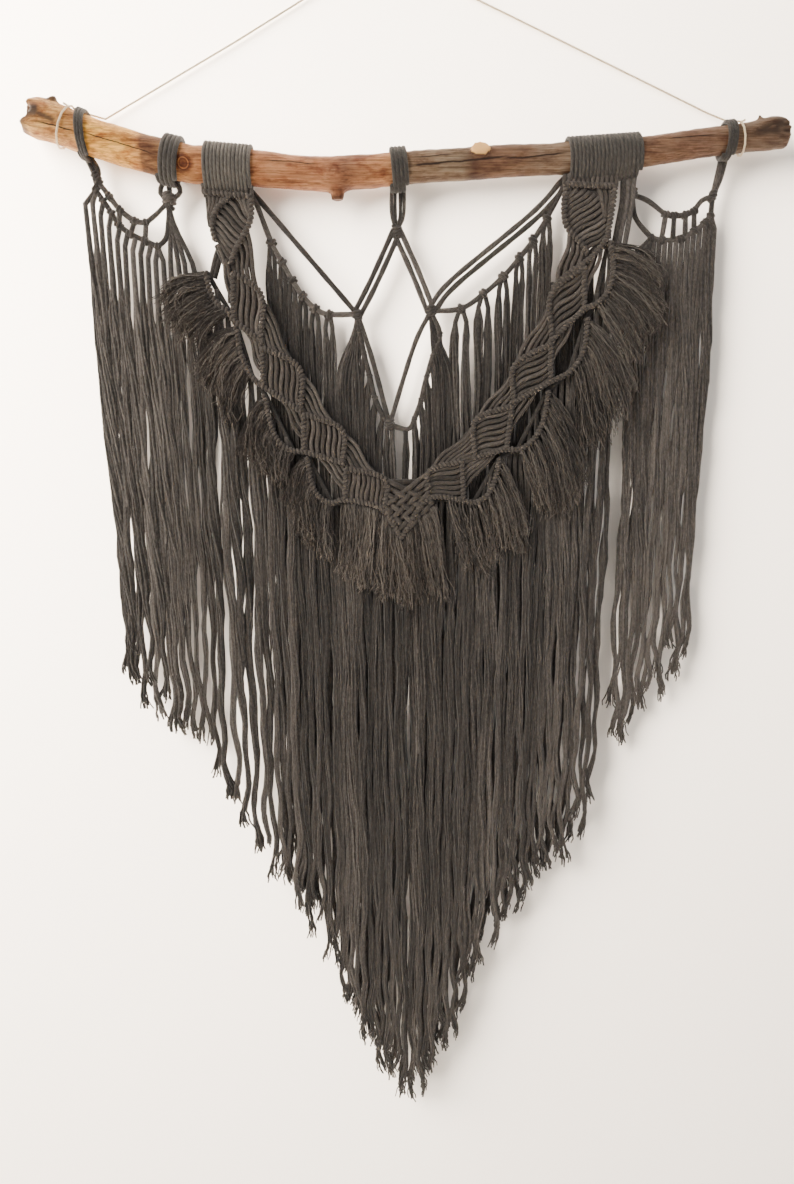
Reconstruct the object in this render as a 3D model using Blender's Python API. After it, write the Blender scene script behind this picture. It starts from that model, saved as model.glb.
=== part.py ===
"""A macrame wall hanging of dark cotton cord, knotted on a crooked driftwood branch.

The frame: +X to the right, -Y out of the wall, +Z up. The origin is the point on the wall where the
hanging string is hooked up, so y = 0 is the wall. Every table below is in millimetres.
"""
import math
import random

import bmesh
import bpy
from mathutils import Matrix, Vector

MM = 0.001                  # millimetres to metres

# ---------------------------------------------------------------- driving dimensions
GAP = 0.4                   # air between two pieces that touch
CORD = 2.0                  # radius of the single cotton cord
CREST = 3.0                 # radius of a ridged bar at each hitch
VALLEY = 2.2                # radius of a ridged bar between two hitches
HITCH = 23.0                # length of one ridge of a bar, five hitches of the real one
SMALL_KNOT = 4.2            # radius of a knot on one cord
SMALL_KNOT_HALF = (2.5, -1.0)   # from its middle to its end, as x, z
BIG_KNOT = 5.6              # radius of a knot that gathers several cords
SQUARE_KNOT = 7.0           # radius of the square knot under the left small wrap
TWIN_KNOT = 6.5             # radius of the knot at the right end of the right wide wrap
STRAND = 2.8                # radius of a hanging strand
STRAND_PITCH = 6.8          # from one hanging strand to the next
STRAND_ROOT = 0.8           # the thin end of a strand, as a share of its radius
STRAND_FOOT = 1.15          # the thick end of a straight strand, which has three sides
SWING = 14.0                # below its root, how far down a strand reaches its own place
BACKING = 2.2               # radius of a narrow strip that locks hang from
LOCK_ROOT = 1.2             # radius of a lock at its root
LOCK_TIP = 3.6              # radius of a lock at its tip
CURTAIN_STRIP = 2.7         # radius of the strip behind the band that its long strands hang from
STRING = 1.0                # radius of the hanging string
STRING_LOOP = (-20, 400)    # where the string's turns round the branch start, and how far they go, in degrees
EDGE_ROOM = 0.7             # from a cell's side to its first cord, as a share of the way to the next
WRAP_CORD = 4.2             # how far a cord wound round the branch stands proud of it
WRAP_GROOVE = 0.9           # depth of the groove between two turns
BORE_PAST = 12.0            # how far the cutter of a wrap's bore runs past its ends
BRANCH_SIDES = 12           # facets round the branch and the wraps
RIDGE_STEP = 0.03           # pieces of one solid lie this much in front of each other
WOVEN_STEP = 0.9            # the two layers of the woven diamond lie this far in front of and behind the band

BRANCH_Y = -25.0            # the branch's axis
WEB_Y = -17.0               # the open net and the swags at both ends
CURTAIN_Y = -26.6           # the long fringe behind the band
BAND_Y = -33.0              # the V band
TASSEL_Y = -37.0            # the tassels, in front of the band's lower edge

# the branch's axis and radius, from its broken left end to its hollow right end: x, z, radius
BRANCH = [
    (-371, -159, 14.0), (-352, -163.5, 18.6), (-330, -170, 18.8), (-300, -180, 19.0),
    (-250, -194.5, 18.7), (-200, -206, 19.0), (-185, -207, 18.8), (-132, -210.5, 18.0),
    (-90, -214, 17.0), (-58, -216, 17.3), (-20, -214, 17.1), (30, -210, 16.3),
    (100, -205.5, 16.2), (150, -202.5, 15.8), (191, -201, 16.2), (270, -195, 15.1),
    (300, -190.5, 14.8), (345, -185, 14.4), (380, -181, 14.6), (404, -177, 16.4),
    (420, -176, 15.4),
]

# stubs and thorns on the branch: x, angle from straight up towards the front, foot and tip radius, length
STUBS = [
    (-335, 10, 7.0, 4.5, 6.0),
    (-196, 84, 5.0, 3.6, 1.6),
    (-45, 180, 9.5, 6.5, 9.0),
    (108, 28, 10.5, 8.5, 4.0),
    (391, 5, 3.4, 1.6, 5.0),
]

# wedges that split the broken left end: x, z, width, height, angle
NOTCHES = [(-373, -160, 12, 12, 40), (-376, -146, 20, 12, -30)]
NOTCH_DEPTH = 60.0          # a wedge goes right through the branch
# the hollow of the right end: x, how far in front of the axis, radius
HOLLOW = [(398, 3, 4.0), (424, 5, 11.5)]

# cord wound round the branch: node, first x, last x, turns, upright where the branch slopes
WRAPS = [
    ("left_end_ring", -311, -301, 2, True),
    ("left_small_wrap", -229, -206, 4, False),
    ("left_wide_wrap", -185, -132, 8, False),
    ("centre_wrap", 8, 29, 4, False),
    ("right_wide_wrap", 191, 270, 11, False),
    ("right_end_ring", 352, 366, 3, True),
]

# how far down the fringe reaches: x, z of the tips
TIPS = [
    (-320, -760), (-292, -790), (-265, -820), (-232, -846), (-212, -850), (-200, -915),
    (-183, -925), (-166, -965), (-145, -980), (-133, -1040), (-114, -1045), (-84, -1084),
    (-58, -1150), (-32, -1229), (-14, -1277), (5, -1324), (31, -1348), (56, -1330),
    (75, -1251), (95, -1211), (127, -1105), (157, -1065), (186, -1025), (209, -1000),
    (242, -961), (266, -905), (272, -835), (295, -840), (315, -797), (348, -765), (368, -730),
]
TIP_SPREAD = 9.0            # the tips are cut unevenly, by this much up and down

# the bars of the left and right band under their wide wraps: first x, last x
TOP_BARS = {"left": (-182, -142), "right": (194, 249)}
# the first cell, whose bars cross: the inner and the outer bar as x, z
FIRST_BARS = {
    "left": [[(-172, -240), (-157, -256), (-142, -271), (-154, -318)],
             [(-182, -236), (-177, -264), (-170, -292), (-154, -318)]],
    "right": [[(233, -240), (238, -256), (240, -273), (216, -304), (182, -335)],
              [(194, -236), (194, -252), (198, -272), (218, -306)]],
}
# the cords that fan out below the first cell: from which line to which line, as x, z, and how many
FIRST_FANS = [
    ([(-159, -308), (-166, -298), (-173, -283)], [(-155, -318), (-157, -330), (-158, -344)], 2),
    ([(-154, -308), (-142, -276)], [(-152, -316), (-128, -335)], 3),
    ([(220, -301), (240, -281)], [(216, -311), (217, -347)], 3),
    ([(213, -301), (199, -273)], [(208, -314), (184, -334)], 3),
]
# the right side of the left first cell
FIRST_SIDE = [(-135, -236), (-135, -262), (-142, -273)]
# the padded cells of the band from top to bottom: top left, top right, bottom right and bottom left corner
CELLS = {
    "left": [[(-156, -315), (-127, -337), (-129, -384), (-158, -363)],
             [(-128, -391), (-88, -413), (-88, -458), (-128, -432)],
             [(-85, -461), (-43, -478), (-43, -514), (-85, -502)],
             [(-39, -520), (4, -532), (3, -566), (-41, -555)]],
    "right": [[(181, -337), (215, -309), (217, -352), (184, -383)],
              [(144, -410), (183, -387), (184, -427), (145, -448)],
              [(103, -468), (143, -452), (138, -499), (104, -508)],
              [(53, -523), (89, -512), (92, -556), (52, -554)]],
}
# the scalloped bars that run into the lower bar of each cell: x, z
SCALLOPS = {
    "left": [[(-185, -314), (-180, -328), (-172, -344), (-162, -356)],
             [(-155, -370), (-151, -398), (-141, -420)],
             [(-127, -441), (-122, -469), (-113, -491), (-98, -501)],
             [(-82, -508), (-79, -532), (-71, -550), (-56, -559)]],
    "right": [[(243, -289), (246, -312), (242, -333), (229, -347)],
              [(221, -361), (219, -392), (206, -415)],
              [(182, -437), (178, -467), (167, -489), (151, -500)],
              [(131, -509), (126, -533), (118, -550), (104, -558)]],
}
CELL_CORDS = 4              # padded cords side by side in a cell
FAN_CORDS = 2               # cords that fan out above the next cell
WOVEN = 4                   # cords each way in the woven diamond

# tassels: node, side, the scalloped bar that they hang below, the x where they end on it, the line that
# their tips reach, number of locks
TASSELS = [
    ("tassel_left_1", "left", 0, -162, [(-231, -335), (-226, -372), (-210, -402), (-197, -422)], 8),
    ("tassel_left_2", "left", 1, -141, [(-199, -438), (-187, -460), (-172, -472), (-158, -482)], 8),
    ("tassel_left_3", "left", 2, -98, [(-157, -503), (-140, -516), (-123, -528), (-111, -548)], 8),
    ("tassel_left_4", "left", 3, -56, [(-106, -561), (-94, -590), (-76, -612), (-59, -626)], 8),
    ("tassel_right_4", "right", 3, 68, [(164, -596), (150, -616), (132, -612), (110, -640), (90, -628)], 9),
    ("tassel_right_3", "right", 2, 151, [(226, -528), (214, -556), (196, -580), (172, -566)], 8),
    ("tassel_right_2", "right", 1, 206, [(272, -442), (254, -468), (238, -494), (218, -500)], 8),
    ("tassel_right_1", "right", 0, 229, [(290, -306), (299, -352), (287, -390), (270, -424)], 8),
]
CENTRE_EDGE = [(-41, -555.6), (0, -566.6), (21.5, -598.4), (57, -560.4)]
CENTRE_REACH = [(-47, -640), (-8, -664), (22, -674), (54, -670), (72, -662)]
CENTRE_LOCKS = 11

# the net: its gathering knots, its two rows of small knots, its edge cords and its strands, as x, z
KNOT_LEFT = (-26, -355)
KNOT_RIGHT = (54, -352)
KNOT_TOP = (17, -270)
KNOT_LOW = (9, -473)
WEB_LEFT_KNOTS = [(-117, -282), (-106, -302), (-96, -320), (-85, -336), (-72, -349), (-57, -355)]
WEB_RIGHT_KNOTS = [(87, -349), (111, -334), (132, -316), (149, -297), (163, -279), (177, -257)]
WEB_EDGE_LEFT = [(-24, -372), (-19, -396), (-13, -420), (-7, -444), (1, -462)]
WEB_EDGE_RIGHT = [(64, -376), (57, -398), (50, -421), (44, -446), (37, -466)]
WEB_FAN_LEFT = [-47, -41, -35]
WEB_FAN_RIGHT = [63, 69, 75]
WEB_LOW_STRANDS = [7, 13, 29]

# the swags at both ends: x, z
LEFT_LOWER_ROW = [(-301, -229), (-294, -240), (-286, -252), (-279, -264), (-267, -273), (-252, -280),
                  (-239, -286)]
LEFT_UPPER_ROW = [(-299, -220), (-287, -236), (-277, -249), (-262, -260), (-250, -262)]
RIGHT_LOWER_ROW = [(289, -277), (300, -279), (320, -278), (334, -270), (345, -262), (351, -254)]
RIGHT_UPPER_ROW = [(303, -254), (312, -255), (324, -254), (333, -250)]
LEFT_SWAG_STRANDS = [-314, -306, -298, -290, -282, -274, -266, -258, -250, -242, -234]
RIGHT_SWAG_STRANDS = [272, 278, 284, 290, 296, 302, 308, 314, 320, 326, 332, 338, 344, 350, 356]

scatter = random.Random(7)


# ---------------------------------------------------------------- helpers
def start_empty():
    """Clear the scene and make the two collections: the part, and the shapes that only help to build it."""
    for old in list(bpy.data.objects):
        bpy.data.objects.remove(old, do_unlink=True)
    found = {}
    for name in ("macrame_wall_hanging", "helpers"):
        found[name] = bpy.data.collections.new(name)
        bpy.context.scene.collection.children.link(found[name])
    return found["macrame_wall_hanging"], found["helpers"]


def finish_of(name, colour, roughness):
    """A plain matte material."""
    made = bpy.data.materials.new(name)
    made.use_nodes = True
    shader = made.node_tree.nodes["Principled BSDF"]
    shader.inputs["Base Color"].default_value = (*colour, 1.0)
    shader.inputs["Roughness"].default_value = roughness
    return made


def along(table, x, column):
    """Read a column of a table whose first column is x, straight between its rows."""
    if x <= table[0][0]:
        return table[0][column]
    for low, high in zip(table, table[1:]):
        if x <= high[0]:
            share = (x - low[0]) / (high[0] - low[0])
            return low[column] + share * (high[column] - low[column])
    return table[-1][column]


def on_line(points, share):
    """The point at a share of the length of a line of x, z points."""
    steps = [math.dist(a, b) for a, b in zip(points, points[1:])]
    left = share * sum(steps)
    for a, b, step in zip(points, points[1:], steps):
        if left <= step:
            part = left / step
            return (a[0] + part * (b[0] - a[0]), a[1] + part * (b[1] - a[1]))
        left -= step
    return points[-1]


def smooth(points, step):
    """Read points about a step apart from a smooth curve through the given ones."""
    rows = [Vector(p) for p in points]
    rows = [2 * rows[0] - rows[1]] + rows + [2 * rows[-1] - rows[-2]]
    made = []
    for a, b, c, d in zip(rows, rows[1:], rows[2:], rows[3:]):
        count = max(1, round((c - b).length / step))
        for k in range(count):
            t = k / count
            made.append(0.5 * (2 * b + (c - a) * t + (2 * a - 5 * b + 4 * c - d) * t * t
                               + (3 * b - a - 3 * c + d) * t ** 3))
    return made + [rows[-2]]


def flat(points, y):
    """Give x, z points their depth."""
    return [(x, y, z) for x, z in points]


def tube(path, radius, sides=4, twist="MINIMUM"):
    """One closed tube along a path, as a mesh object; the radius is one number or one for each point."""
    curve = bpy.data.curves.new("tube", "CURVE")
    curve.dimensions = "3D"
    curve.bevel_depth = MM
    curve.bevel_resolution = (sides - 4) // 2
    curve.use_fill_caps = True
    curve.twist_mode = twist
    spline = curve.splines.new("POLY")
    spline.points.add(len(path) - 1)
    radii = radius if isinstance(radius, list) else [radius] * len(path)
    for point, place, size in zip(spline.points, path, radii):
        point.co = (place[0] * MM, place[1] * MM, place[2] * MM, 1.0)
        point.radius = size
    holder = bpy.data.objects.new("tube", curve)
    helpers.objects.link(holder)
    graph = bpy.context.evaluated_depsgraph_get()
    mesh = bpy.data.meshes.new_from_object(holder.evaluated_get(graph), depsgraph=graph)
    bpy.data.objects.remove(holder, do_unlink=True)
    bpy.data.curves.remove(curve)
    weld(mesh)
    return helper(mesh)


def ball(x, z, y, radius):
    """A knot, as a small faceted ball."""
    mesh = bpy.data.meshes.new("knot")
    work = bmesh.new()
    bmesh.ops.create_icosphere(work, subdivisions=1, radius=radius * MM)
    bmesh.ops.translate(work, verts=work.verts, vec=(x * MM, y * MM, z * MM))
    work.to_mesh(mesh)
    work.free()
    return helper(mesh)


def weld(mesh):
    """Join points that lie together, such as those of a tube's loose caps."""
    work = bmesh.new()
    work.from_mesh(mesh)
    bmesh.ops.remove_doubles(work, verts=work.verts, dist=1e-6)
    bmesh.ops.recalc_face_normals(work, faces=work.faces)
    work.to_mesh(mesh)
    work.free()


def helper(mesh):
    """A guide object, left out of the part."""
    made = bpy.data.objects.new("helper", mesh)
    made.hide_render = True
    made.display_type = "WIRE"
    helpers.objects.link(made)
    return made


def merged(pieces):
    """Put several helpers into one; small steps in depth keep two ridges from crossing in one plane."""
    work = bmesh.new()
    for number, piece in enumerate(pieces):
        piece.data.transform(Matrix.Translation((0, RIDGE_STEP * MM * ((number * 5) % 9 - 4.5), 0)))
        work.from_mesh(piece.data)
        bpy.data.objects.remove(piece, do_unlink=True)
    mesh = bpy.data.meshes.new("pieces")
    work.to_mesh(mesh)
    work.free()
    return helper(mesh)


def fuse(name, pieces, finish, cutters=()):
    """Join overlapping closed pieces into one solid of the part, then cut it with the cutters."""
    base = pieces[0]
    helping = [merged(pieces[1:])] if len(pieces) > 1 else []
    for other in helping:
        join = base.modifiers.new("join", "BOOLEAN")
        join.operation = "UNION"
        join.solver = "EXACT"
        join.use_self = True
        join.object = other
    for cutter in cutters:
        cut = base.modifiers.new("cut", "BOOLEAN")
        cut.operation = "DIFFERENCE"
        cut.solver = "EXACT"
        cut.object = cutter
    graph = bpy.context.evaluated_depsgraph_get()
    mesh = bpy.data.meshes.new_from_object(base.evaluated_get(graph), depsgraph=graph)
    for used in [base] + helping + list(cutters):
        bpy.data.objects.remove(used, do_unlink=True)
    weld(mesh)
    mesh.materials.clear()
    mesh.materials.append(finish)
    made = bpy.data.objects.new(name, mesh)
    part.objects.link(made)
    return made


# ---------------------------------------------------------------- the branch and what is wound round it
def branch_tube(first, last, extra, swell=None, upright=False):
    """A tube that follows the branch between two x, thicker than it by extra; an upright one is level."""
    stops = [first] + [row[0] for row in BRANCH if first < row[0] < last] + [last]
    if swell:
        stops = sorted(set(stops) | {x for x, more in swell})
    middle = along(BRANCH, (first + last) / 2, 1)
    path = [(x, BRANCH_Y, middle if upright else along(BRANCH, x, 1)) for x in stops]
    more = abs(along(BRANCH, last, 1) - middle) / 2 if upright else 0.0
    radii = [along(BRANCH, x, 2) + extra + more + (along(swell, x, 1) if swell else 0.0) for x in stops]
    return tube(path, radii, BRANCH_SIDES, "Z_UP")


def stub(x, turn, foot, tip, length):
    """A short cone that stands out of the branch."""
    mesh = bpy.data.meshes.new("stub")
    work = bmesh.new()
    radius = along(BRANCH, x, 2)
    depth = length + radius
    bmesh.ops.create_cone(work, cap_ends=True, segments=8, radius1=foot * MM, radius2=tip * MM, depth=depth * MM)
    bmesh.ops.translate(work, verts=work.verts, vec=(0, 0, depth / 2 * MM))
    work.to_mesh(mesh)
    work.free()
    made = helper(mesh)
    mesh.transform(Matrix.Rotation(math.radians(turn), 4, "X"))
    mesh.transform(Matrix.Translation((x * MM, BRANCH_Y * MM, along(BRANCH, x, 1) * MM)))
    return made


def wedge(x, z, width, height, turn):
    """A block that splits the broken end of the branch; it is turned by an angle in degrees."""
    mesh = bpy.data.meshes.new("wedge")
    work = bmesh.new()
    bmesh.ops.create_cube(work, size=1.0)
    bmesh.ops.scale(work, verts=work.verts, vec=(width * MM, NOTCH_DEPTH * MM, height * MM))
    work.to_mesh(mesh)
    work.free()
    made = helper(mesh)
    mesh.transform(Matrix.Rotation(math.radians(turn), 4, "Y"))
    mesh.transform(Matrix.Translation((x * MM, BRANCH_Y * MM, z * MM)))
    return made


def make_branch():
    """The branch, with its stubs, its split left end and its hollow right end."""
    body = branch_tube(BRANCH[0][0], BRANCH[-1][0], 0.0)
    stubs = [stub(*row) for row in STUBS]
    end_z = BRANCH[-1][1]
    hollow = tube([(x, BRANCH_Y - front, end_z) for x, front, radius in HOLLOW],
                  [radius for x, front, radius in HOLLOW], 8, "Z_UP")
    notches = [wedge(*row) for row in NOTCHES]
    fuse("branch", [body] + stubs, wood, [hollow] + notches)


def wound(first, last, turns, upright):
    """A sleeve of cord round the branch, with a groove between its turns."""
    turn = (last - first) / turns
    swell = [(first + k * turn, -WRAP_GROOVE) for k in range(turns + 1)]
    swell += [(first + (k + 0.5) * turn, 0.0) for k in range(turns)]
    swell.sort()
    return branch_tube(first, last, GAP + WRAP_CORD, swell, upright)


def make_wraps():
    """The rings and sleeves of cord that hold the knotted work on the branch."""
    for name, first, last, turns, upright in WRAPS:
        bore = branch_tube(first - BORE_PAST, last + BORE_PAST, GAP)
        fuse(name, [wound(first, last, turns, upright)], cotton, [bore])


def near_wrap(name):
    """A cutter a gap larger than a wrap, for the cords that hang from it."""
    for wrap, first, last, turns, upright in WRAPS:
        if wrap == name:
            return branch_tube(first - GAP, last + GAP, WRAP_CORD + 2 * GAP, upright=upright)
    raise ValueError(name)


def under_wrap(x, y):
    """The height of a bar that is tied up against the underside of a wrap."""
    reach = along(BRANCH, x, 2) + WRAP_CORD + VALLEY
    return along(BRANCH, x, 1) - math.sqrt(reach ** 2 - (y - BRANCH_Y) ** 2)


def string_loop(x, advance, start, sweep):
    """A turn of the hanging string round the branch; it advances along the branch as it goes round."""
    made = []
    steps = 14
    reach = (along(BRANCH, x, 2) + STRING + GAP) / math.cos(math.radians(sweep / steps / 2))
    slope = math.atan2(along(BRANCH, x + 5, 1) - along(BRANCH, x - 5, 1), 10)
    for k in range(steps + 1):
        angle = math.radians(start + sweep * k / steps)
        place = x + advance * (k / steps - 0.5)
        out = reach * math.cos(angle)
        made.append((place - out * math.sin(slope), BRANCH_Y + reach * math.sin(angle),
                     along(BRANCH, place, 1) + out * math.cos(slope)))
    return made


def make_string():
    """The cream string: round the left end, up to the hook at the origin, and down round the right end."""
    left = string_loop(-326, 7, *STRING_LOOP)
    right = string_loop(373, -6, *STRING_LOOP)[::-1]
    left_rise = [(-290, -4.0, -157), (-150, -2.6, -83)]
    right_fall = [(150, -2.6, -66), (345, -3.6, -151.5)]
    apex = [(-2.5, -1.6, -0.6 - STRING), (0, -1.6, -STRING), (2.5, -1.6, -0.6 - STRING)]
    fuse("hanging_string", [tube(left + left_rise + apex + right_fall + right, STRING, 8)], string)


# ---------------------------------------------------------------- knotted cord
def strand(x, z, fall, y, radius=STRAND):
    """A hanging strand: from its root it swings to its own place and falls straight to its tip."""
    tip = along(TIPS, fall, 1) + scatter.uniform(-TIP_SPREAD, TIP_SPREAD)
    if abs(fall - x) > CORD / 2:
        return tube([(x, y, z), (fall, y, z - SWING), (fall, y, tip)], [radius * STRAND_ROOT, radius, radius])
    mesh = bpy.data.meshes.new("strand")
    work = bmesh.new()
    bmesh.ops.create_cone(work, cap_ends=True, segments=3, radius1=radius * STRAND_FOOT * MM,
                          radius2=radius * STRAND_ROOT * MM, depth=(z - tip) * MM)
    bmesh.ops.translate(work, verts=work.verts, vec=(fall * MM, y * MM, (z + tip) / 2 * MM))
    work.to_mesh(mesh)
    work.free()
    return helper(mesh)


def knotted(points, knots, y):
    """A single cord with a thick place for each knot."""
    path = []
    radii = []
    across, down = SMALL_KNOT_HALF
    for point in points:
        if point in knots:
            x, z = point
            path += [(x - across, z - down), point, (x + across, z + down)]
            radii += [CORD, SMALL_KNOT, CORD]
        else:
            path.append(point)
            radii.append(CORD)
    return tube(flat(path, y), radii)


def bar(points, y=BAND_Y):
    """A ridged bar of hitches along a smooth line."""
    path = smooth(points, HITCH / 2)
    radii = [CREST if k % 2 else VALLEY for k in range(len(path))]
    return tube(flat(path, y), radii)


def lower_line(side, number):
    """The line of a scalloped bar, which runs on along its cell's lower edge and a little past its corner."""
    top_left, top_right, low_right, low_left = CELLS[side][number]
    near, far = (low_left, low_right) if side == "left" else (low_right, low_left)
    more = (Vector(far) - Vector(near)).normalized() * CREST
    return SCALLOPS[side][number] + [near, tuple(Vector(far) + more)]


def padded(edge_a, edge_b, count, y=BAND_Y):
    """Cords side by side from one edge to another."""
    made = []
    for k in range(count):
        share = (k + EDGE_ROOM) / (count - 1 + 2 * EDGE_ROOM)
        a = on_line(edge_a, share)
        b = on_line(edge_b, share)
        made.append(tube(flat([a, b], y), CORD))
    return made


def make_band():
    """The V band: two chains of padded cells that meet in a woven diamond."""
    pieces = []
    for side in ("left", "right"):
        first, last = TOP_BARS[side]
        top = [(first, under_wrap(first, BAND_Y)), (last, under_wrap(last, BAND_Y))]
        inner, outer = FIRST_BARS[side]
        pieces += [bar(top), bar(inner), tube(flat(outer, BAND_Y), CORD)]
        pieces += padded(top, outer[1:] if side == "left" else inner[1:4], CELL_CORDS)
        cells = CELLS[side]
        for number, (top_left, top_right, low_right, low_left) in enumerate(cells):
            after = cells[number + 1] if number + 1 < len(cells) else None
            pieces.append(bar(lower_line(side, number)))
            if side == "left":
                pieces.append(bar([top_left, top_right, low_right]))
                pieces += padded([top_left, top_right], [low_left, low_right], CELL_CORDS)
                if after:
                    pieces += padded([low_right, top_right], [after[0], after[1]], FAN_CORDS)
            else:
                pieces.append(bar([top_right, top_left, low_left]))
                pieces += padded([top_left, low_left], [top_right, low_right], CELL_CORDS)
                if after:
                    pieces += padded([low_left, top_left], [after[1], after[0]], FAN_CORDS)
    pieces.append(tube(flat(FIRST_SIDE, BAND_Y), CORD))
    for start, end, count in FIRST_FANS:
        pieces += padded(start, end, count)
    pieces += diamond()
    fuse("v_band", pieces, cotton, [near_wrap("left_wide_wrap"), near_wrap("right_wide_wrap")])


def diamond():
    """The woven diamond at the point of the V: cords of the two sides pass over and under."""
    made = []
    for k in range(WOVEN):
        share = k / (WOVEN - 1)
        a = on_line([(5, -533), (1, -565)], share)
        b = on_line([(57, -559), (23, -596)], share)
        made.append(tube(flat([a, b], BAND_Y - WOVEN_STEP), CORD))
        a = on_line([(54, -526), (57, -557)], share)
        b = on_line([(2, -563), (20, -595)], share)
        made.append(tube(flat([a, b], BAND_Y + WOVEN_STEP), CORD))
    return made


# ---------------------------------------------------------------- net, swags, curtains and tassels
def make_web():
    """The open net between the bands, with the strands that hang from its knots."""
    left_start = (-136, -231)
    right_start = (196, -220)
    left_cord = [left_start] + WEB_LEFT_KNOTS + [KNOT_LEFT]
    right_cord = [KNOT_RIGHT] + WEB_RIGHT_KNOTS + [right_start]
    pieces = [ball(x, z, WEB_Y, BIG_KNOT) for x, z in (KNOT_LEFT, KNOT_RIGHT, KNOT_TOP, KNOT_LOW)]
    pieces.append(knotted(left_cord, WEB_LEFT_KNOTS, WEB_Y))
    pieces.append(knotted(right_cord, WEB_RIGHT_KNOTS, WEB_Y))
    singles = [
        [left_start, KNOT_LEFT], [KNOT_RIGHT, (79, -322), (163, -255), right_start],
        [(12, -222), KNOT_TOP], [(24, -222), KNOT_TOP],
        [KNOT_TOP, (-8, -322), KNOT_LEFT], [KNOT_TOP, (37, -312), KNOT_RIGHT],
        [KNOT_LEFT, (-10, -402), KNOT_LOW], [KNOT_RIGHT, (36, -388), KNOT_LOW],
        [KNOT_LEFT] + WEB_EDGE_LEFT + [KNOT_LOW], [KNOT_RIGHT] + WEB_EDGE_RIGHT + [(30, -478), KNOT_LOW],
    ]
    pieces += [tube(flat(route, WEB_Y), CORD) for route in singles]
    for row in (WEB_LEFT_KNOTS, WEB_RIGHT_KNOTS):
        for number, (x, z) in enumerate(row):
            other = row[number + 1] if number + 1 < len(row) else row[number - 1]
            half = abs(other[0] - x) / 4
            width = min(STRAND, half - GAP / 2)
            pieces += [strand(x - 1, z, x - half, WEB_Y, width), strand(x + 1, z, x + half, WEB_Y, width)]
    for fall in WEB_FAN_LEFT:
        pieces.append(strand(KNOT_LEFT[0], KNOT_LEFT[1], fall, WEB_Y, STRAND))
    for fall in WEB_FAN_RIGHT:
        pieces.append(strand(KNOT_RIGHT[0], KNOT_RIGHT[1], fall, WEB_Y, STRAND))
    for x, z in WEB_EDGE_LEFT:
        pieces.append(strand(x, z, x - 3, WEB_Y, STRAND * 0.9))
    for x, z in WEB_EDGE_RIGHT:
        pieces.append(strand(x, z, x + 2, WEB_Y, STRAND * 0.9))
    for fall in WEB_LOW_STRANDS:
        pieces.append(strand(fall, -476, fall, WEB_Y, STRAND))
    cutters = [near_wrap(name) for name in ("left_wide_wrap", "centre_wrap", "right_wide_wrap")]
    fuse("centre_web", pieces, cotton, cutters)


def make_left_swag():
    """The two knotted rows between the left ring and the small wrap, with their fringe."""
    top = LEFT_UPPER_ROW[0]
    square = (-224, -240)
    pieces = [ball(top[0], top[1] + 2, WEB_Y, BIG_KNOT), ball(square[0], square[1], WEB_Y, SQUARE_KNOT)]
    pieces += [bar(LEFT_LOWER_ROW, WEB_Y), bar(LEFT_UPPER_ROW, WEB_Y)]
    routes = [
        [(-308.5, -199), (-304, -208), top], [(-303.5, -199), (-297, -210), top],
        [(-227, -224), square], [(-219, -224), square],
        [LEFT_UPPER_ROW[-1], (-238, -253), square],
        [LEFT_LOWER_ROW[-1], (-229, -277), (-226, -260), square],
        [LEFT_UPPER_ROW[2], LEFT_LOWER_ROW[3]], [LEFT_UPPER_ROW[3], LEFT_LOWER_ROW[4]],
        [LEFT_UPPER_ROW[4], LEFT_LOWER_ROW[5]],
    ]
    pieces += [tube(flat(route, WEB_Y), CORD) for route in routes]
    for fall in LEFT_SWAG_STRANDS:
        x = min(max(fall + 4, LEFT_LOWER_ROW[0][0]), LEFT_LOWER_ROW[-1][0])
        pieces.append(strand(x, along(LEFT_LOWER_ROW, x, 1), fall, WEB_Y, 3.2))
    for fall in (-212, -200):
        pieces.append(strand(square[0], square[1], fall, WEB_Y, STRAND))
    fuse("left_swag", pieces, cotton, [near_wrap("left_end_ring"), near_wrap("left_small_wrap")])


def make_right_swag():
    """The two knotted rows between the right wide wrap and the right ring, with their fringe."""
    square = (266, -234)
    join = (351, -236)
    pieces = [ball(square[0], square[1], WEB_Y, TWIN_KNOT), ball(join[0], join[1], WEB_Y, BIG_KNOT)]
    pieces += [bar(RIGHT_LOWER_ROW, WEB_Y), bar(RIGHT_UPPER_ROW, WEB_Y)]
    routes = [
        [(263, -212), square], [(268, -212), square],
        [(358, -192), (355, -215), join], [(363, -192), (359, -215), join],
        [square, (283, -240), RIGHT_UPPER_ROW[0]], [RIGHT_UPPER_ROW[-1], (340, -240), join],
        [square, (271, -257), RIGHT_LOWER_ROW[0]], [RIGHT_LOWER_ROW[-1], join],
        [RIGHT_UPPER_ROW[0], RIGHT_LOWER_ROW[1]], [RIGHT_UPPER_ROW[1], (312, -279)],
        [RIGHT_UPPER_ROW[2], (325, -276)], [RIGHT_UPPER_ROW[3], RIGHT_LOWER_ROW[3]],
    ]
    pieces += [tube(flat(route, WEB_Y), CORD) for route in routes]
    for fall in RIGHT_SWAG_STRANDS:
        x = min(max(fall, RIGHT_LOWER_ROW[0][0]), RIGHT_LOWER_ROW[-1][0])
        pieces.append(strand(x, along(RIGHT_LOWER_ROW, x, 1), fall, WEB_Y, STRAND))
    fuse("right_swag", pieces, cotton, [near_wrap("right_wide_wrap"), near_wrap("right_end_ring")])


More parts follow.
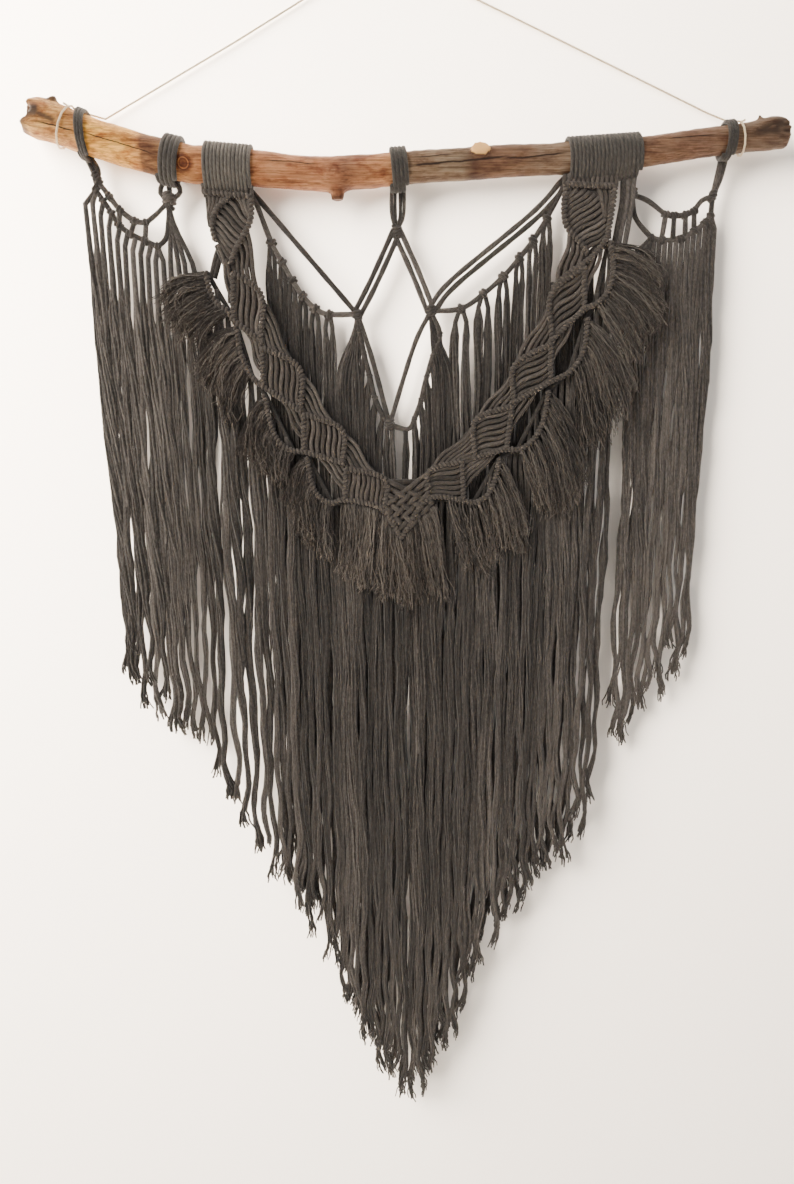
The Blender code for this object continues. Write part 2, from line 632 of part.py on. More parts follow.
def make_curtain(name, side, first, last):
    """The long strands that hang from a narrow strip behind the band's lower bars."""
    line = [CELLS[side][-1][2 if side == "left" else 3]]
    for scallop in SCALLOPS[side]:
        line += [scallop[0], scallop[-1]]
    line.sort()
    strip_y = BAND_Y + CREST + GAP + 5 * RIDGE_STEP + CURTAIN_STRIP
    pieces = [tube(flat(line, strip_y), CURTAIN_STRIP)]
    count = int((last - first) / STRAND_PITCH)
    for k in range(count):
        x = first + (k + 0.5) * STRAND_PITCH
        root = min(max(x, line[0][0]), line[-1][0])
        pieces.append(strand(root, along(line, root, 1), x, CURTAIN_Y))
    fuse(name, pieces, cotton)


def outside(points, side, away):
    """Move a line of x, z points away from the band, square to it."""
    turn = 1 if side == "left" else -1
    rows = [Vector(p) for p in points]
    squares = [Vector((b.y - a.y, a.x - b.x)).normalized() * turn for a, b in zip(rows, rows[1:])]
    made = []
    for row, before, after in zip(rows, squares[:1] + squares, squares + squares[-1:]):
        corner = (before + after).normalized()
        made.append(tuple(row + corner * (away / corner.dot(before))))
    return made


def lock(root, tip):
    """A three-sided lock of a tassel, thicker at its tip."""
    a = Vector(root)
    b = Vector(tip)
    mesh = bpy.data.meshes.new("lock")
    work = bmesh.new()
    bmesh.ops.create_cone(work, cap_ends=True, segments=3, radius1=LOCK_ROOT * MM, radius2=LOCK_TIP * MM,
                          depth=(b - a).length * MM)
    bmesh.ops.rotate(work, verts=work.verts, matrix=(b - a).to_track_quat("Z", "Y").to_matrix())
    bmesh.ops.translate(work, verts=work.verts, vec=(a + b) / 2 * MM)
    work.to_mesh(mesh)
    work.free()
    return helper(mesh)


def make_tassel(name, line, reach, locks):
    """A tassel: locks that spread from a narrow strip."""
    pieces = [tube(flat(line, BAND_Y), BACKING)]
    for k in range(locks):
        share = (k + 0.5) / locks
        root = on_line(line, share)
        tip = on_line(reach, share)
        ragged = scatter.uniform(-TIP_SPREAD, TIP_SPREAD) / 3
        pieces.append(lock((root[0], BAND_Y, root[1]), (tip[0], TASSEL_Y, tip[1] + ragged)))
    fuse(name, pieces, cotton)


def make_tassels():
    """A tassel below each scalloped bar, and one below the diamond."""
    away = CREST + GAP + BACKING
    for name, side, number, last, reach, locks in TASSELS:
        turn = 1 if side == "left" else -1
        line = [p for p in smooth(lower_line(side, number), HITCH / 2) if (last - p[0]) * turn > -CREST]
        make_tassel(name, outside(line, side, away), reach, locks)
    make_tassel("tassel_centre", outside(CENTRE_EDGE, "left", away), CENTRE_REACH, CENTRE_LOCKS)


# ---------------------------------------------------------------- build
part, helpers = start_empty()
wood = finish_of("driftwood", (0.42, 0.22, 0.11), 0.7)
cotton = finish_of("charcoal_cotton", (0.055, 0.047, 0.041), 0.9)
string = finish_of("cream_string", (0.78, 0.72, 0.62), 0.85)

make_branch()
make_wraps()
make_string()
make_band()
make_web()
make_left_swag()
make_right_swag()
make_curtain("left_curtain", "left", -190, 22)
make_curtain("right_curtain", "right", 24, 264)
make_tassels()
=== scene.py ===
"""The looks of a macrame wall hanging: dark cotton cord knotted on a crooked driftwood branch.

Every table is in millimetres, in the frame of the solids: +X to the right, -Y out of the wall, +Z up, and the
origin where the hanging string is hooked up.
"""

import math

import bmesh
import bpy
import numpy as np
from mathutils import Matrix, Vector, noise


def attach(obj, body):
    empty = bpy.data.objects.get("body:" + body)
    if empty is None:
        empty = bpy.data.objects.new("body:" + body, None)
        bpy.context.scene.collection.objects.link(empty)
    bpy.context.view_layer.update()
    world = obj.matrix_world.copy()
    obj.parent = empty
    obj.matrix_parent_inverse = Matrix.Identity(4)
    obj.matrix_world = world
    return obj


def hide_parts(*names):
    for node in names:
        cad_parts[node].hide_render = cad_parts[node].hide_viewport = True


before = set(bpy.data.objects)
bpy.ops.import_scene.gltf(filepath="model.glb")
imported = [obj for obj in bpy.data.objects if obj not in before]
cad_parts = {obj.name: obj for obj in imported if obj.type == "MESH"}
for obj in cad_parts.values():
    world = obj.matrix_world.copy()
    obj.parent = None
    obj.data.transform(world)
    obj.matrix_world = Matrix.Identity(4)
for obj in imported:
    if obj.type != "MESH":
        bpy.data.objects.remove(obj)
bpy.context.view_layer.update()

MM = 0.001
rng = np.random.default_rng(11)

# ---------------------------------------------------------------- sizes shared with the solids
GAP = 0.4                   # air between two pieces that touch
CORD = 2.0                  # radius of the single cotton cord
STRING = 1.0                # radius of the hanging string
SWING = 14.0                # below its root, how far down a strand reaches its own place
WRAP_CORD = 4.2             # how far a cord wound round the branch stands proud of it
BRANCH_Y = -25.0            # the branch's axis
WEB_Y = -17.0               # the open net and the swags at both ends
CURTAIN_Y = -26.6           # the long fringe behind the band
BAND_Y = -33.0              # the V band

# ---------------------------------------------------------------- sizes of the finer make
WRAP_STEPS = 30             # points in one turn of a wrap's cord
NET_CORD = 2.8              # radius of a cord of the net, which is soft and a little flattened
BAR_CORE = 2.0              # radius of the cords inside a ridged bar
HITCH_CORD = 1.85           # radius of the cord hitched round them
HITCH_REACH = 1.75          # from the middle of the bar to the middle of the hitched cord
HITCH_LAY = 4.3             # from one hitch of a bar to the next
BAR_PROUD = 2.2             # the bars stand this much in front of the cords between them
PADDED_CORD = 2.25          # radius of the soft cords that fill a cell
PADDED_PITCH = 5.9          # from one of them to the next
FAN_CORD = 1.95             # radius of the cords that fan out from one cell to the next
FAN_PITCH = 5.0             # from one of them to the next
BACK_CORDS = 3.4            # darker cords lie this far behind them, as the other half of each hitch, painted dark as shade
WOVEN = 6                   # cords each way in the woven diamond
GATHERING_KNOT = (6.2, 3.0)  # radius and loops of a knot that gathers several cords
END_KNOT = (5.2, 3.0)       # the one at the outer end of a swag
NET_KNOT = (6.0, 1.7)       # one of the net's knotted row
EDGE_KNOT = (3.8, 1.5)      # one of the net's lower edges
SWAG_KNOT = (4.9, 1.7)      # one of the rows of the swags
STRAND_WIDTH = 3.8          # half the width of a combed strand where it is open
STRAND_YARNS = 7            # yarns round the core of a strand
COMBED_STEP = 14.0          # length of one piece of a combed strand
FRAYED = 44.0               # the strands fray over this length at their tips
FRINGE_PITCH = 6.8          # from one strand of the long fringe to the next
LOCK_FIBRES = 24            # brushed fibres in one lock of a tassel
LOCK_POINTS = 9             # points along one of them
SKIN_STEP = 1.9             # size of the cells in which the branch and its stubs grow together
FIBRE_TWIST = 0.16          # radians that the fibres turn round a cord in each millimetre of it
FIBRE_STRETCH = 3.0         # the fibres' pattern is this much longer than wide
TIP_SPREAD = 19.0           # the tips are cut unevenly, by about this much up and down
LOWEST = -1349.0            # and none is lower than this
NEAREST_WALL = -2.2         # no yarn of a strand lies nearer to the wall
FOREMOST = -44.0            # no fibre of a tassel stands further out

# the branch: x, z, radius
BRANCH = [
    (-371, -157.5, 18.5), (-352, -162.5, 20.0), (-330, -169.5, 19.4), (-300, -180, 19.0),
    (-250, -194.5, 18.7), (-200, -206, 19.0), (-185, -207, 18.8), (-132, -210.5, 18.0),
    (-90, -214, 17.0), (-58, -216, 17.3), (-20, -214, 17.1), (30, -210, 16.3),
    (100, -205.5, 16.2), (150, -202.5, 15.8), (191, -201, 16.2), (270, -195, 15.1),
    (300, -190.5, 14.8), (345, -185, 14.4), (380, -181, 14.6), (404, -177, 16.4),
    (420, -176, 15.4),
]

# stubs and thorns on the branch: x, angle from straight up towards the front, foot and tip radius, length
STUBS = [
    (-335, 10, 7.0, 4.0, 6.0),
    (-201, 84, 6.0, 4.6, 1.6),
    (-45, 180, 9.5, 6.5, 9.0),
    (103, 52, 10.5, 9.5, 3.2),
    (391, 5, 3.4, 1.6, 5.0),
]

# marks of wear on the branch: where they lie along it
LEFT_TIP_STUB = -335        # the stubs with dark tips
RIGHT_TIP_STUB = 391
LOWER_STUB = -45            # the branch swells round the stub below
SAWN_STUB = (103, 52)       # the stub whose sawn face shows: x, angle from straight up towards the front
HOLLOW_LEFT = -348          # the broken end is hollow from here
DARK_RIM = -358.5           # and the rim of its splinters is dark from here
HOLLOW_RIGHT = 412          # the rotten end is hollow from here
HOLLOW_RADIUS = 12.5        # of both hollows
NOTCH = (-343, -160)        # the notch in the front of the broken end: x where it starts, z
BARK_STRIP = (-325, -357, -159)  # the strip of bark behind it: x where it starts, a point on it
PEELING = 378               # from here on, bark peels from the front of the other end

# the splinters' feet are inside the branch, and they stand as far out as it is thick at their rim
SPLINTER_FOOT = -340
SPLINTER_RIM = -350
# they go round the broken left end: angle from straight up towards the front, x of the tip, radius
SPLINTERS = [
    (-8, -362, 8.0), (18, -360, 8.0), (44, -362, 7.5), (72, -358, 8.0), (100, -360, 8.0),
    (128, -365, 7.5), (150, -364, 8.0), (176, -366, 7.5), (205, -367, 8.0), (232, -371, 7.5),
    (258, -371, 7.5), (284, -370, 7.5), (310, -369, 7.5), (336, -365, 8.0),
]

# cracks on the front of the branch: x and z of both ends, then how wide it gapes
CRACKS = [
    (-352, -170, -304, -181, 1.1), (-304, -180, -228, -202, 0.8), (29, -204, 80, -200, 0.8),
    (28, -212, 133, -203, 1.5), (122, -206, 193, -199, 1.2), (-122, -206, -62, -210, 0.8),
    (288, -186, 346, -181, 0.8),
]

# cord wound round the branch: node, first x, last x, turns, upright where the branch slopes
WRAPS = [
    ("left_end_ring", -312, -300, 3, True),
    ("left_small_wrap", -229, -206, 4, False),
    ("left_wide_wrap", -185, -132, 13, False),
    ("centre_wrap", 8, 29, 4, False),
    ("right_wide_wrap", 191, 270, 19, False),
    ("right_end_ring", 352, 366, 3, True),
]

# how far down the fringe reaches: x, z of the tips
TIPS = [
    (-320, -760), (-292, -790), (-265, -820), (-232, -846), (-212, -850), (-200, -915),
    (-183, -925), (-166, -965), (-145, -980), (-133, -1040), (-114, -1045), (-84, -1084),
    (-58, -1150), (-32, -1229), (-14, -1277), (5, -1324), (31, -1348), (56, -1330),
    (75, -1251), (95, -1211), (127, -1105), (157, -1065), (186, -1025), (209, -1000),
    (242, -961), (266, -905), (272, -835), (295, -840), (315, -797), (348, -765), (368, -730),
]

# the bars of the left and right band under their wide wraps: x, z
TOP_BARS = {
    "left": [(-184, -235), (-158, -238), (-134, -240)],
    "right": [(191, -228), (216, -229), (245, -230)],
}
# the bars of the first cell, which cross
FIRST_BARS = {
    "left": [[(-135, -241), (-134, -252), (-136, -264), (-141, -274), (-147, -283), (-153, -293),
              (-158, -306)],
             [(-157, -241), (-168, -249), (-175, -261), (-176, -271), (-173, -284)]],
    "right": [[(243, -231), (242, -246), (239, -270), (236, -283), (219, -302), (198, -316),
               (183, -330)],
              [(193, -231), (191, -246), (194, -268), (210, -285), (218, -296)]],
}
# the cords of the first cell and round it: from which line to which line, as x, z
FIRST_CORDS = [
    ([(-157, -241), (-168, -249), (-175, -261), (-176, -271), (-172, -284)],
     [(-136, -264), (-141, -274), (-147, -283), (-153, -293), (-158, -304)]),
    ([(-152, -240), (-136, -241)], [(-138, -260), (-135, -262)]),
    ([(-181, -237), (-162, -239)], [(-179, -268), (-176, -264)]),
    ([(-160, -308), (-167, -296), (-174, -280)], [(-157, -318), (-158, -332), (-159, -348)]),
    ([(-155, -300), (-138, -268)], [(-153, -316), (-128, -336)]),
    ([(210, -231), (228, -240), (234, -252), (236, -264), (236, -282)],
     [(193, -246), (195, -262), (200, -274), (208, -283), (217, -294)]),
    ([(224, -231), (241, -232)], [(235, -260), (240, -264)]),
    ([(194, -231), (208, -231)], [(193, -242), (194, -244)]),
    ([(215, -296), (196, -271)], [(213, -307), (184, -329)]),
    ([(221, -301), (237, -284)], [(217, -311), (218, -350)]),
]
# dark cord behind the first cells, where the others don't meet, painted dark as shade: x, z
FIRST_BACKINGS = [
    [(-172, -286), (-165, -302), (-159, -322), (-160, -345)], [(-160, -296), (-154, -312), (-148, -324)],
    [(206, -286), (214, -299), (221, -305)], [(222, -296), (234, -286), (243, -286)],
    [(203, -300), (213, -308)],
    [(-182, -233), (-135, -235)], [(193, -221), (247, -223)], [(197, -236), (236, -238)],
    [(238, -242), (238, -262), (239, -280)], [(213, -290), (223, -299)],
]
# the padded cells of the band from top to bottom: outer and inner corner above, inner and outer one below
CELLS = {
    "left": [[(-156, -315), (-127, -337), (-129, -384), (-158, -363)],
             [(-128, -391), (-88, -413), (-88, -458), (-128, -432)],
             [(-85, -461), (-43, -478), (-43, -514), (-85, -502)],
             [(-39, -520), (4, -532), (3, -566), (-41, -555)]],
    "right": [[(215, -309), (181, -337), (184, -383), (217, -352)],
              [(183, -387), (144, -410), (145, -448), (184, -427)],
              [(143, -452), (103, -468), (104, -508), (138, -499)],
              [(89, -512), (53, -523), (52, -554), (92, -556)]],
}
# the scalloped bars that run into the lower bar of each cell: x, z
SCALLOPS = {
    "left": [[(-185, -314), (-182, -331), (-175, -345), (-162, -355)],
             [(-155, -370), (-151, -398), (-141, -420)],
             [(-127, -441), (-122, -469), (-113, -491), (-98, -501)],
             [(-82, -508), (-79, -532), (-71, -550), (-56, -559)]],
    "right": [[(241, -284), (246, -310), (242, -333), (229, -347)],
              [(221, -361), (219, -392), (206, -415)],
              [(182, -437), (178, -467), (167, -489), (151, -500)],
              [(131, -509), (126, -533), (118, -550), (104, -558)]],
}

# tassels: node, side, the scalloped bar that they hang below, the x where they end on it, the line that
# their tips reach
TASSELS = [
    ("tassel_left_1", "left", 0, -162, [(-231, -335), (-225, -361), (-214, -381), (-199, -394)]),
    ("tassel_left_2", "left", 1, -141, [(-200, -412), (-190, -434), (-177, -458), (-160, -476)]),
    ("tassel_left_3", "left", 2, -98, [(-157, -503), (-140, -516), (-123, -528), (-111, -548)]),
    ("tassel_left_4", "left", 3, -56, [(-106, -561), (-94, -590), (-76, -612), (-59, -626)]),
    ("tassel_right_4", "right", 3, 68, [(164, -596), (150, -616), (132, -612), (110, -640), (90, -628)]),
    ("tassel_right_3", "right", 2, 151, [(226, -528), (214, -556), (196, -580), (172, -566)]),
    ("tassel_right_2", "right", 1, 206, [(272, -442), (254, -468), (238, -494), (218, -500)]),
    ("tassel_right_1", "right", 0, 229, [(290, -306), (299, -352), (287, -390), (270, -424)]),
]
CENTRE_EDGE = [(-41, -555.6), (0, -566.6), (21.5, -598.4), (57, -560.4)]
CENTRE_REACH = [(-47, -640), (-8, -664), (22, -674), (54, -670), (72, -662)]

# the net: its gathering knots, its two rows of small knots, its edge cords and its strands, as x, z
KNOT_LEFT = (-26, -355)
KNOT_RIGHT = (54, -352)
KNOT_TOP = (17, -270)
KNOT_LOW = (9, -473)
POINT = (22, -598)          # the point of the woven diamond
WEB_LEFT_KNOTS = [(-117, -282), (-106, -302), (-96, -320), (-85, -336), (-72, -349), (-57, -355)]
WEB_RIGHT_KNOTS = [(87, -349), (111, -334), (132, -316), (149, -297), (163, -279), (177, -257)]
WEB_EDGE_LEFT = [(-24, -372), (-19, -396), (-13, -420), (-7, -444), (1, -462)]
WEB_EDGE_RIGHT = [(64, -376), (57, -398), (50, -421), (44, -446), (37, -466)]
WEB_FAN_LEFT = [-47, -41, -35]
WEB_FAN_RIGHT = [63, 69, 75]
WEB_LOW_STRANDS = [6, 12, 27]
WEB_TOP_CORDS = [11.6, 15.3, 20.7, 24.4]  # the x of the cords that come down from the centre wrap
WEB_TOP_CORD = 1.95         # their radius
WEB_HIDDEN_STRANDS = [186, 193, 200, 207, 214, 221, 227]  # they start behind the right band

# the swags at both ends: x, z
LEFT_LOWER_ROW = [(-301, -229), (-294, -240), (-286, -252), (-279, -264), (-267, -273), (-252, -280),
                  (-239, -286)]
LEFT_UPPER_ROW = [(-299, -220), (-287, -236), (-277, -249), (-262, -260), (-250, -262)]
RIGHT_LOWER_ROW = [(289, -277), (300, -279), (320, -278), (334, -270), (345, -262), (351, -254)]
RIGHT_UPPER_ROW = [(303, -254), (312, -255), (324, -254), (333, -250)]
# other cords, a little in front of the swags: two from the band's left edge to the first tassel, and three
# beside the right band
BAND_TIES = [
    [(-164, -274), (-174, -292), (-182, -318)], [(-160, -278), (-170, -295), (-178, -319)],
    [(253, -209), (253.5, -243), (247, -286)], [(258, -209), (258.5, -243), (251.5, -288)],
    [(264, -209), (264, -243), (258, -291)],
]
LEFT_SWAG_STRANDS = [-314, -306, -298, -290, -282, -274, -266, -258, -250, -242, -234]
SMALL_WRAP_STRANDS = [-226, -218, -209, -200]  # they hang from the knots below the small wrap
RIGHT_SWAG_STRANDS = [274, 280, 286, 292, 298, 304, 310, 316, 322, 328, 334, 340, 346, 351, 356]


# ---------------------------------------------------------------- lines
def along(table, x, column):
    """Read a column of a table whose first column is x, straight between its rows."""
    return float(np.interp(x, [row[0] for row in table], [row[column] for row in table]))


def curved(points, step):
    """Points about a step apart on a smooth curve through the given ones."""
    rows = np.array(points, float)
    rows = np.vstack([2 * rows[0] - rows[1], rows, 2 * rows[-1] - rows[-2]])
    made = []
    for a, b, c, d in zip(rows, rows[1:], rows[2:], rows[3:]):
        count = max(1, round(float(np.linalg.norm(c - b)) / step))
        t = (np.arange(count) / count)[:, None]
        made.append(0.5 * (2 * b + (c - a) * t + (2 * a - 5 * b + 4 * c - d) * t ** 2
                           + (3 * b - a - 3 * c + d) * t ** 3))
    return np.vstack(made + [rows[-2:-1]])


def travelled(path):
    """The length of a path up to each of its points."""
    return np.concatenate([[0.0], np.cumsum(np.linalg.norm(np.diff(path, axis=0), axis=1))])


def evenly(path, step):
    """The same path with points a step apart."""
    path = np.array(path, float)
    run = travelled(path)
    stops = np.linspace(0, run[-1], max(2, round(run[-1] / step) + 1))
    return np.stack([np.interp(stops, run, column) for column in path.T], axis=1)


def on_line(points, share):
    """The point at a share of the length of a line."""
    path = np.array(points, float)
    run = travelled(path)
    return np.array([np.interp(share * run[-1], run, column) for column in path.T])


def flat(points, y):
    """Give x, z points their depth."""
    rows = np.array(points, float)
    return np.stack([rows[:, 0], np.full(len(rows), y), rows[:, 1]], axis=1)


def eased(share):
    """From 0 to 1 with a soft start and a soft end."""
    share = np.clip(share, 0, 1)
    return share * share * (3 - 2 * share)


def ramp(value, over):
    """From 0 to 1 as a value grows from nothing to over."""
    return float(np.clip(value / over, 0, 1))


def fades(value, over):
    """The same with a soft start and a soft end."""
    return float(eased(value / over))


def sides_of(path):
    """At each point of a path, the direction out of the wall and the one across the path."""
    ahead = np.gradient(path, axis=0)
    ahead /= np.linalg.norm(ahead, axis=1)[:, None]
    out = np.array([0.0, -1.0, 0.0]) - ahead * (ahead @ np.array([0.0, -1.0, 0.0]))[:, None]
    out /= np.linalg.norm(out, axis=1)[:, None]
    return out, np.cross(ahead, out)


def coil(path, reach, lay, start):
    """A cord wound round a path: its middle a reach away, one turn in every lay, from the angle start."""
    fine = evenly(path, lay / 6)
    out, across = sides_of(fine)
    turn = (start + travelled(fine) / lay * 2 * math.pi)[:, None]
    return fine + reach * (np.cos(turn) * out + np.sin(turn) * across)


def outside(points, side, away):
    """Move a line of x, z points away from the band, square to it."""
    turn = 1 if side == "left" else -1
    rows = [Vector(p) for p in points]
    squares = [Vector((b.y - a.y, a.x - b.x)).normalized() * turn for a, b in zip(rows, rows[1:])]
    made = []
    for row, before, after in zip(rows, squares[:1] + squares, squares + squares[-1:]):
        corner = (before + after).normalized()
        made.append(tuple(row + corner * (away / corner.dot(before))))
    return made


# ---------------------------------------------------------------- tubes
def triangle():
    """The outline of the thinnest yarns, which have three sides; it only helps to build them."""
    curve = bpy.data.curves.new("yarn_outline", "CURVE")
    curve.dimensions = "2D"
    line = curve.splines.new("POLY")
    line.points.add(2)
    for k, point in enumerate(line.points):
        turn = 2 * math.pi * k / 3
        point.co = (MM * math.cos(turn), MM * math.sin(turn), 0.0, 1.0)
    line.use_cyclic_u = True
    made = bpy.data.objects.new("yarn_outline", curve)
    bpy.context.scene.collection.objects.link(made)
    return made


def tube_mesh(cords, sides):
    """Round cords as one closed mesh. A cord is its path, its radii and its tone, which is 0 for dark and 1
    for light. The mesh keeps the tone, and for each point its place on the cord's fibres."""
    curve = bpy.data.curves.new("cords", "CURVE")
    curve.dimensions = "3D"
    curve.use_fill_caps = True
    curve.twist_mode = "MINIMUM"
    outline = triangle() if sides == 3 else None
    if outline:
        curve.bevel_mode = "OBJECT"
        curve.bevel_object = outline
    else:
        curve.bevel_depth = MM
        curve.bevel_resolution = (sides - 4) // 2
    angle = 2 * math.pi * np.arange(sides) / sides
    caps, walls, cap_tones, wall_tones = [], [], [], []
    for number, (path, radii, tone) in enumerate(cords):
        count = len(path)
        radii = np.broadcast_to(np.asarray(radii, float), count)
        spline = curve.splines.new("POLY")
        spline.points.add(count - 1)
        spline.points.foreach_set("co", np.hstack([path * MM, np.ones((count, 1))]).ravel())
        spline.points.foreach_set("radius", np.array(radii))
        run = travelled(path)
        turn = angle[None, :] + (run * FIBRE_TWIST)[:, None]
        place = np.stack([np.cos(turn) * radii[:, None], np.sin(turn) * radii[:, None],
                          np.broadcast_to((run / FIBRE_STRETCH + number * 7.3)[:, None], turn.shape)], axis=2)
        tones = np.repeat(np.broadcast_to(tone, count), sides)
        walls.append(place.reshape(-1, 3))
        wall_tones.append(tones)
        caps.insert(0, np.vstack([place[-1], place[0]]))
        cap_tones.insert(0, np.concatenate([tones[-sides:], tones[:sides]]))
    holder = bpy.data.objects.new("cords", curve)
    bpy.context.scene.collection.objects.link(holder)
    graph = bpy.context.evaluated_depsgraph_get()
    mesh = bpy.data.meshes.new_from_object(holder.evaluated_get(graph), depsgraph=graph)
    for used in [holder] + ([outline] if outline else []):
        bpy.data.objects.remove(used, do_unlink=True)
    bpy.data.curves.remove(curve)
    places = np.vstack(caps + walls)
    if len(places) != len(mesh.vertices):
        raise ValueError("the tubes don't have the points that their cords ask for")
    mesh.attributes.new("fibre", "FLOAT_VECTOR", "POINT").data.foreach_set("vector", places.ravel())
    tones = np.concatenate(cap_tones + wall_tones)
    mesh.attributes.new("tone", "FLOAT", "POINT").data.foreach_set("value", tones)
    weld(mesh)
    return mesh


def weld(mesh):
    """Join the caps to their tubes, and turn every face outwards."""
    work = bmesh.new()
    work.from_mesh(mesh)
    bmesh.ops.remove_doubles(work, verts=work.verts, dist=1e-7)
    bmesh.ops.recalc_face_normals(work, faces=work.faces)
    work.to_mesh(mesh)
    work.free()


def one_object(name, meshes):
    """Put several meshes into one object at the origin."""
    made = []
    for mesh in meshes:
        made.append(bpy.data.objects.new(name, mesh))
        bpy.context.scene.collection.objects.link(made[-1])
    if len(made) > 1:
        with bpy.context.temp_override(active_object=made[0], object=made[0], selected_objects=made,
                                       selected_editable_objects=made):
            bpy.ops.object.join()
    return made[0]


def place(piece, finish, slot, node):
    """Give a finished piece its material, and set it in the frame in the place of its node."""
    piece.data.materials.clear()
    piece.data.materials.append(finish)
    piece.data.shade_smooth()
    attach(piece, "root")
    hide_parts(node)


def tone_of(spread=0.16):
    """The tone of one cord or yarn, as the dye takes on it."""
    return float(np.clip(rng.normal(0.5, spread), 0, 1))


# ---------------------------------------------------------------- materials
def linear(code):
    """A colour given as sRGB hex, in the linear values that a shader takes."""
    parts = [int(code[k:k + 2], 16) / 255 for k in (1, 3, 5)]
    return (*[c / 12.92 if c <= 0.04045 else ((c + 0.055) / 1.055) ** 2.4 for c in parts], 1.0)


def per_mm(size):
    """The scale of a pattern whose grain is a size in millimetres, on coordinates in metres."""
    return 1 / (size * MM)


def blank(name):
    """A new material, its node tree and its shader."""
    made = bpy.data.materials.new(name)
    made.use_nodes = True
    return made, made.node_tree, made.node_tree.nodes["Principled BSDF"]


def add(tree, kind, settings=None, inputs=None, stops=()):
    """Add a node. Inputs are numbers, colours, or the sockets that feed them; stops are the places and the
    colours of a ramp, its two ends first."""
    made = tree.nodes.new("ShaderNode" + kind)
    for name, value in (settings or {}).items():
        setattr(made, name, value)
    for name, value in (inputs or {}).items():
        if isinstance(value, bpy.types.NodeSocket):
            tree.links.new(value, made.inputs[name])
        else:
            made.inputs[name].default_value = value
    for k, (position, colour) in enumerate(stops):
        stop = made.color_ramp.elements[k] if k < 2 else made.color_ramp.elements.new(position)
        stop.position = position
        stop.color = linear(colour)
    return made


def cotton(name, dark, middle, light):
    """Soft cotton cord, dyed in the yarn: no gloss, a faint bloom where it turns away, fibres along it."""
    made, tree, shader = blank(name)
    tone = add(tree, "Attribute", {"attribute_name": "tone"})
    fibre = add(tree, "Attribute", {"attribute_name": "fibre"})
    # fibres in tufts about 1.4 mm wide, drawn that coarse so that they show
    tufts = add(tree, "TexNoise", {}, {"Vector": fibre.outputs["Vector"], "Scale": 1 / 1.4, "Detail": 3.0,
                                       "Roughness": 0.7})
    where = add(tree, "TexCoord").outputs["Object"]
    # the dye and the dust vary over about 70 mm
    patches = add(tree, "TexNoise", {}, {"Vector": where, "Scale": per_mm(70), "Detail": 2.0})
    mixed = add(tree, "Math", {"operation": "MULTIPLY_ADD"},
                {0: tufts.outputs["Fac"], 1: 2.0, 2: tone.outputs["Fac"]})
    level = add(tree, "Math", {"operation": "MULTIPLY_ADD"},
                {0: patches.outputs["Fac"], 1: 0.3, 2: mixed.outputs[0]})
    share = add(tree, "MapRange", {}, {"Value": level.outputs[0], "From Min": 0.9, "From Max": 2.4})
    colour = add(tree, "ValToRGB", {}, {"Fac": share.outputs["Result"]},
                 [(0.0, dark), (1.0, light), (0.5, middle)])
    tree.links.new(colour.outputs["Color"], shader.inputs["Base Color"])
    bump = add(tree, "Bump", {}, {"Height": tufts.outputs["Fac"], "Strength": 0.8, "Distance": 0.8 * MM})
    tree.links.new(bump.outputs["Normal"], shader.inputs["Normal"])
    shader.inputs["Roughness"].default_value = 0.92
    shader.inputs["Specular IOR Level"].default_value = 0.2
    shader.inputs["Sheen Weight"].default_value = 0.12
    shader.inputs["Sheen Roughness"].default_value = 0.6
    return made


# the colour of the branch by x: joints where twigs grew, scraped and weathered lengths
WOOD_COLOURS = [
    (-374, "#c49e6a"), (-345, "#dfb674"), (-312, "#dcae6e"), (-300, "#ffcb66"), (-258, "#ffca6e"),
    (-248, "#ecb672"), (-243, "#8f6a4c"), (-228, "#93704f"), (-204, "#c89666"), (-186, "#c08c62"),
    (-130, "#bd8a66"), (-60, "#c4916f"), (-36, "#8f654e"), (-27, "#a5795c"), (6, "#cf9c74"),
    (30, "#92806f"), (84, "#877a6c"), (96, "#604638"), (118, "#765b4a"), (150, "#7e6656"), (168, "#8c7b6e"),
    (192, "#8c7b6e"), (272, "#8a705f"), (330, "#846a5c"), (372, "#7a675a"), (421, "#6e5d53"),
]


# cracks in the wood
CRACK_WANDER = 3.0          # they wander over this width
CRACK_CLOSES = 12.0         # and close over this length at both ends


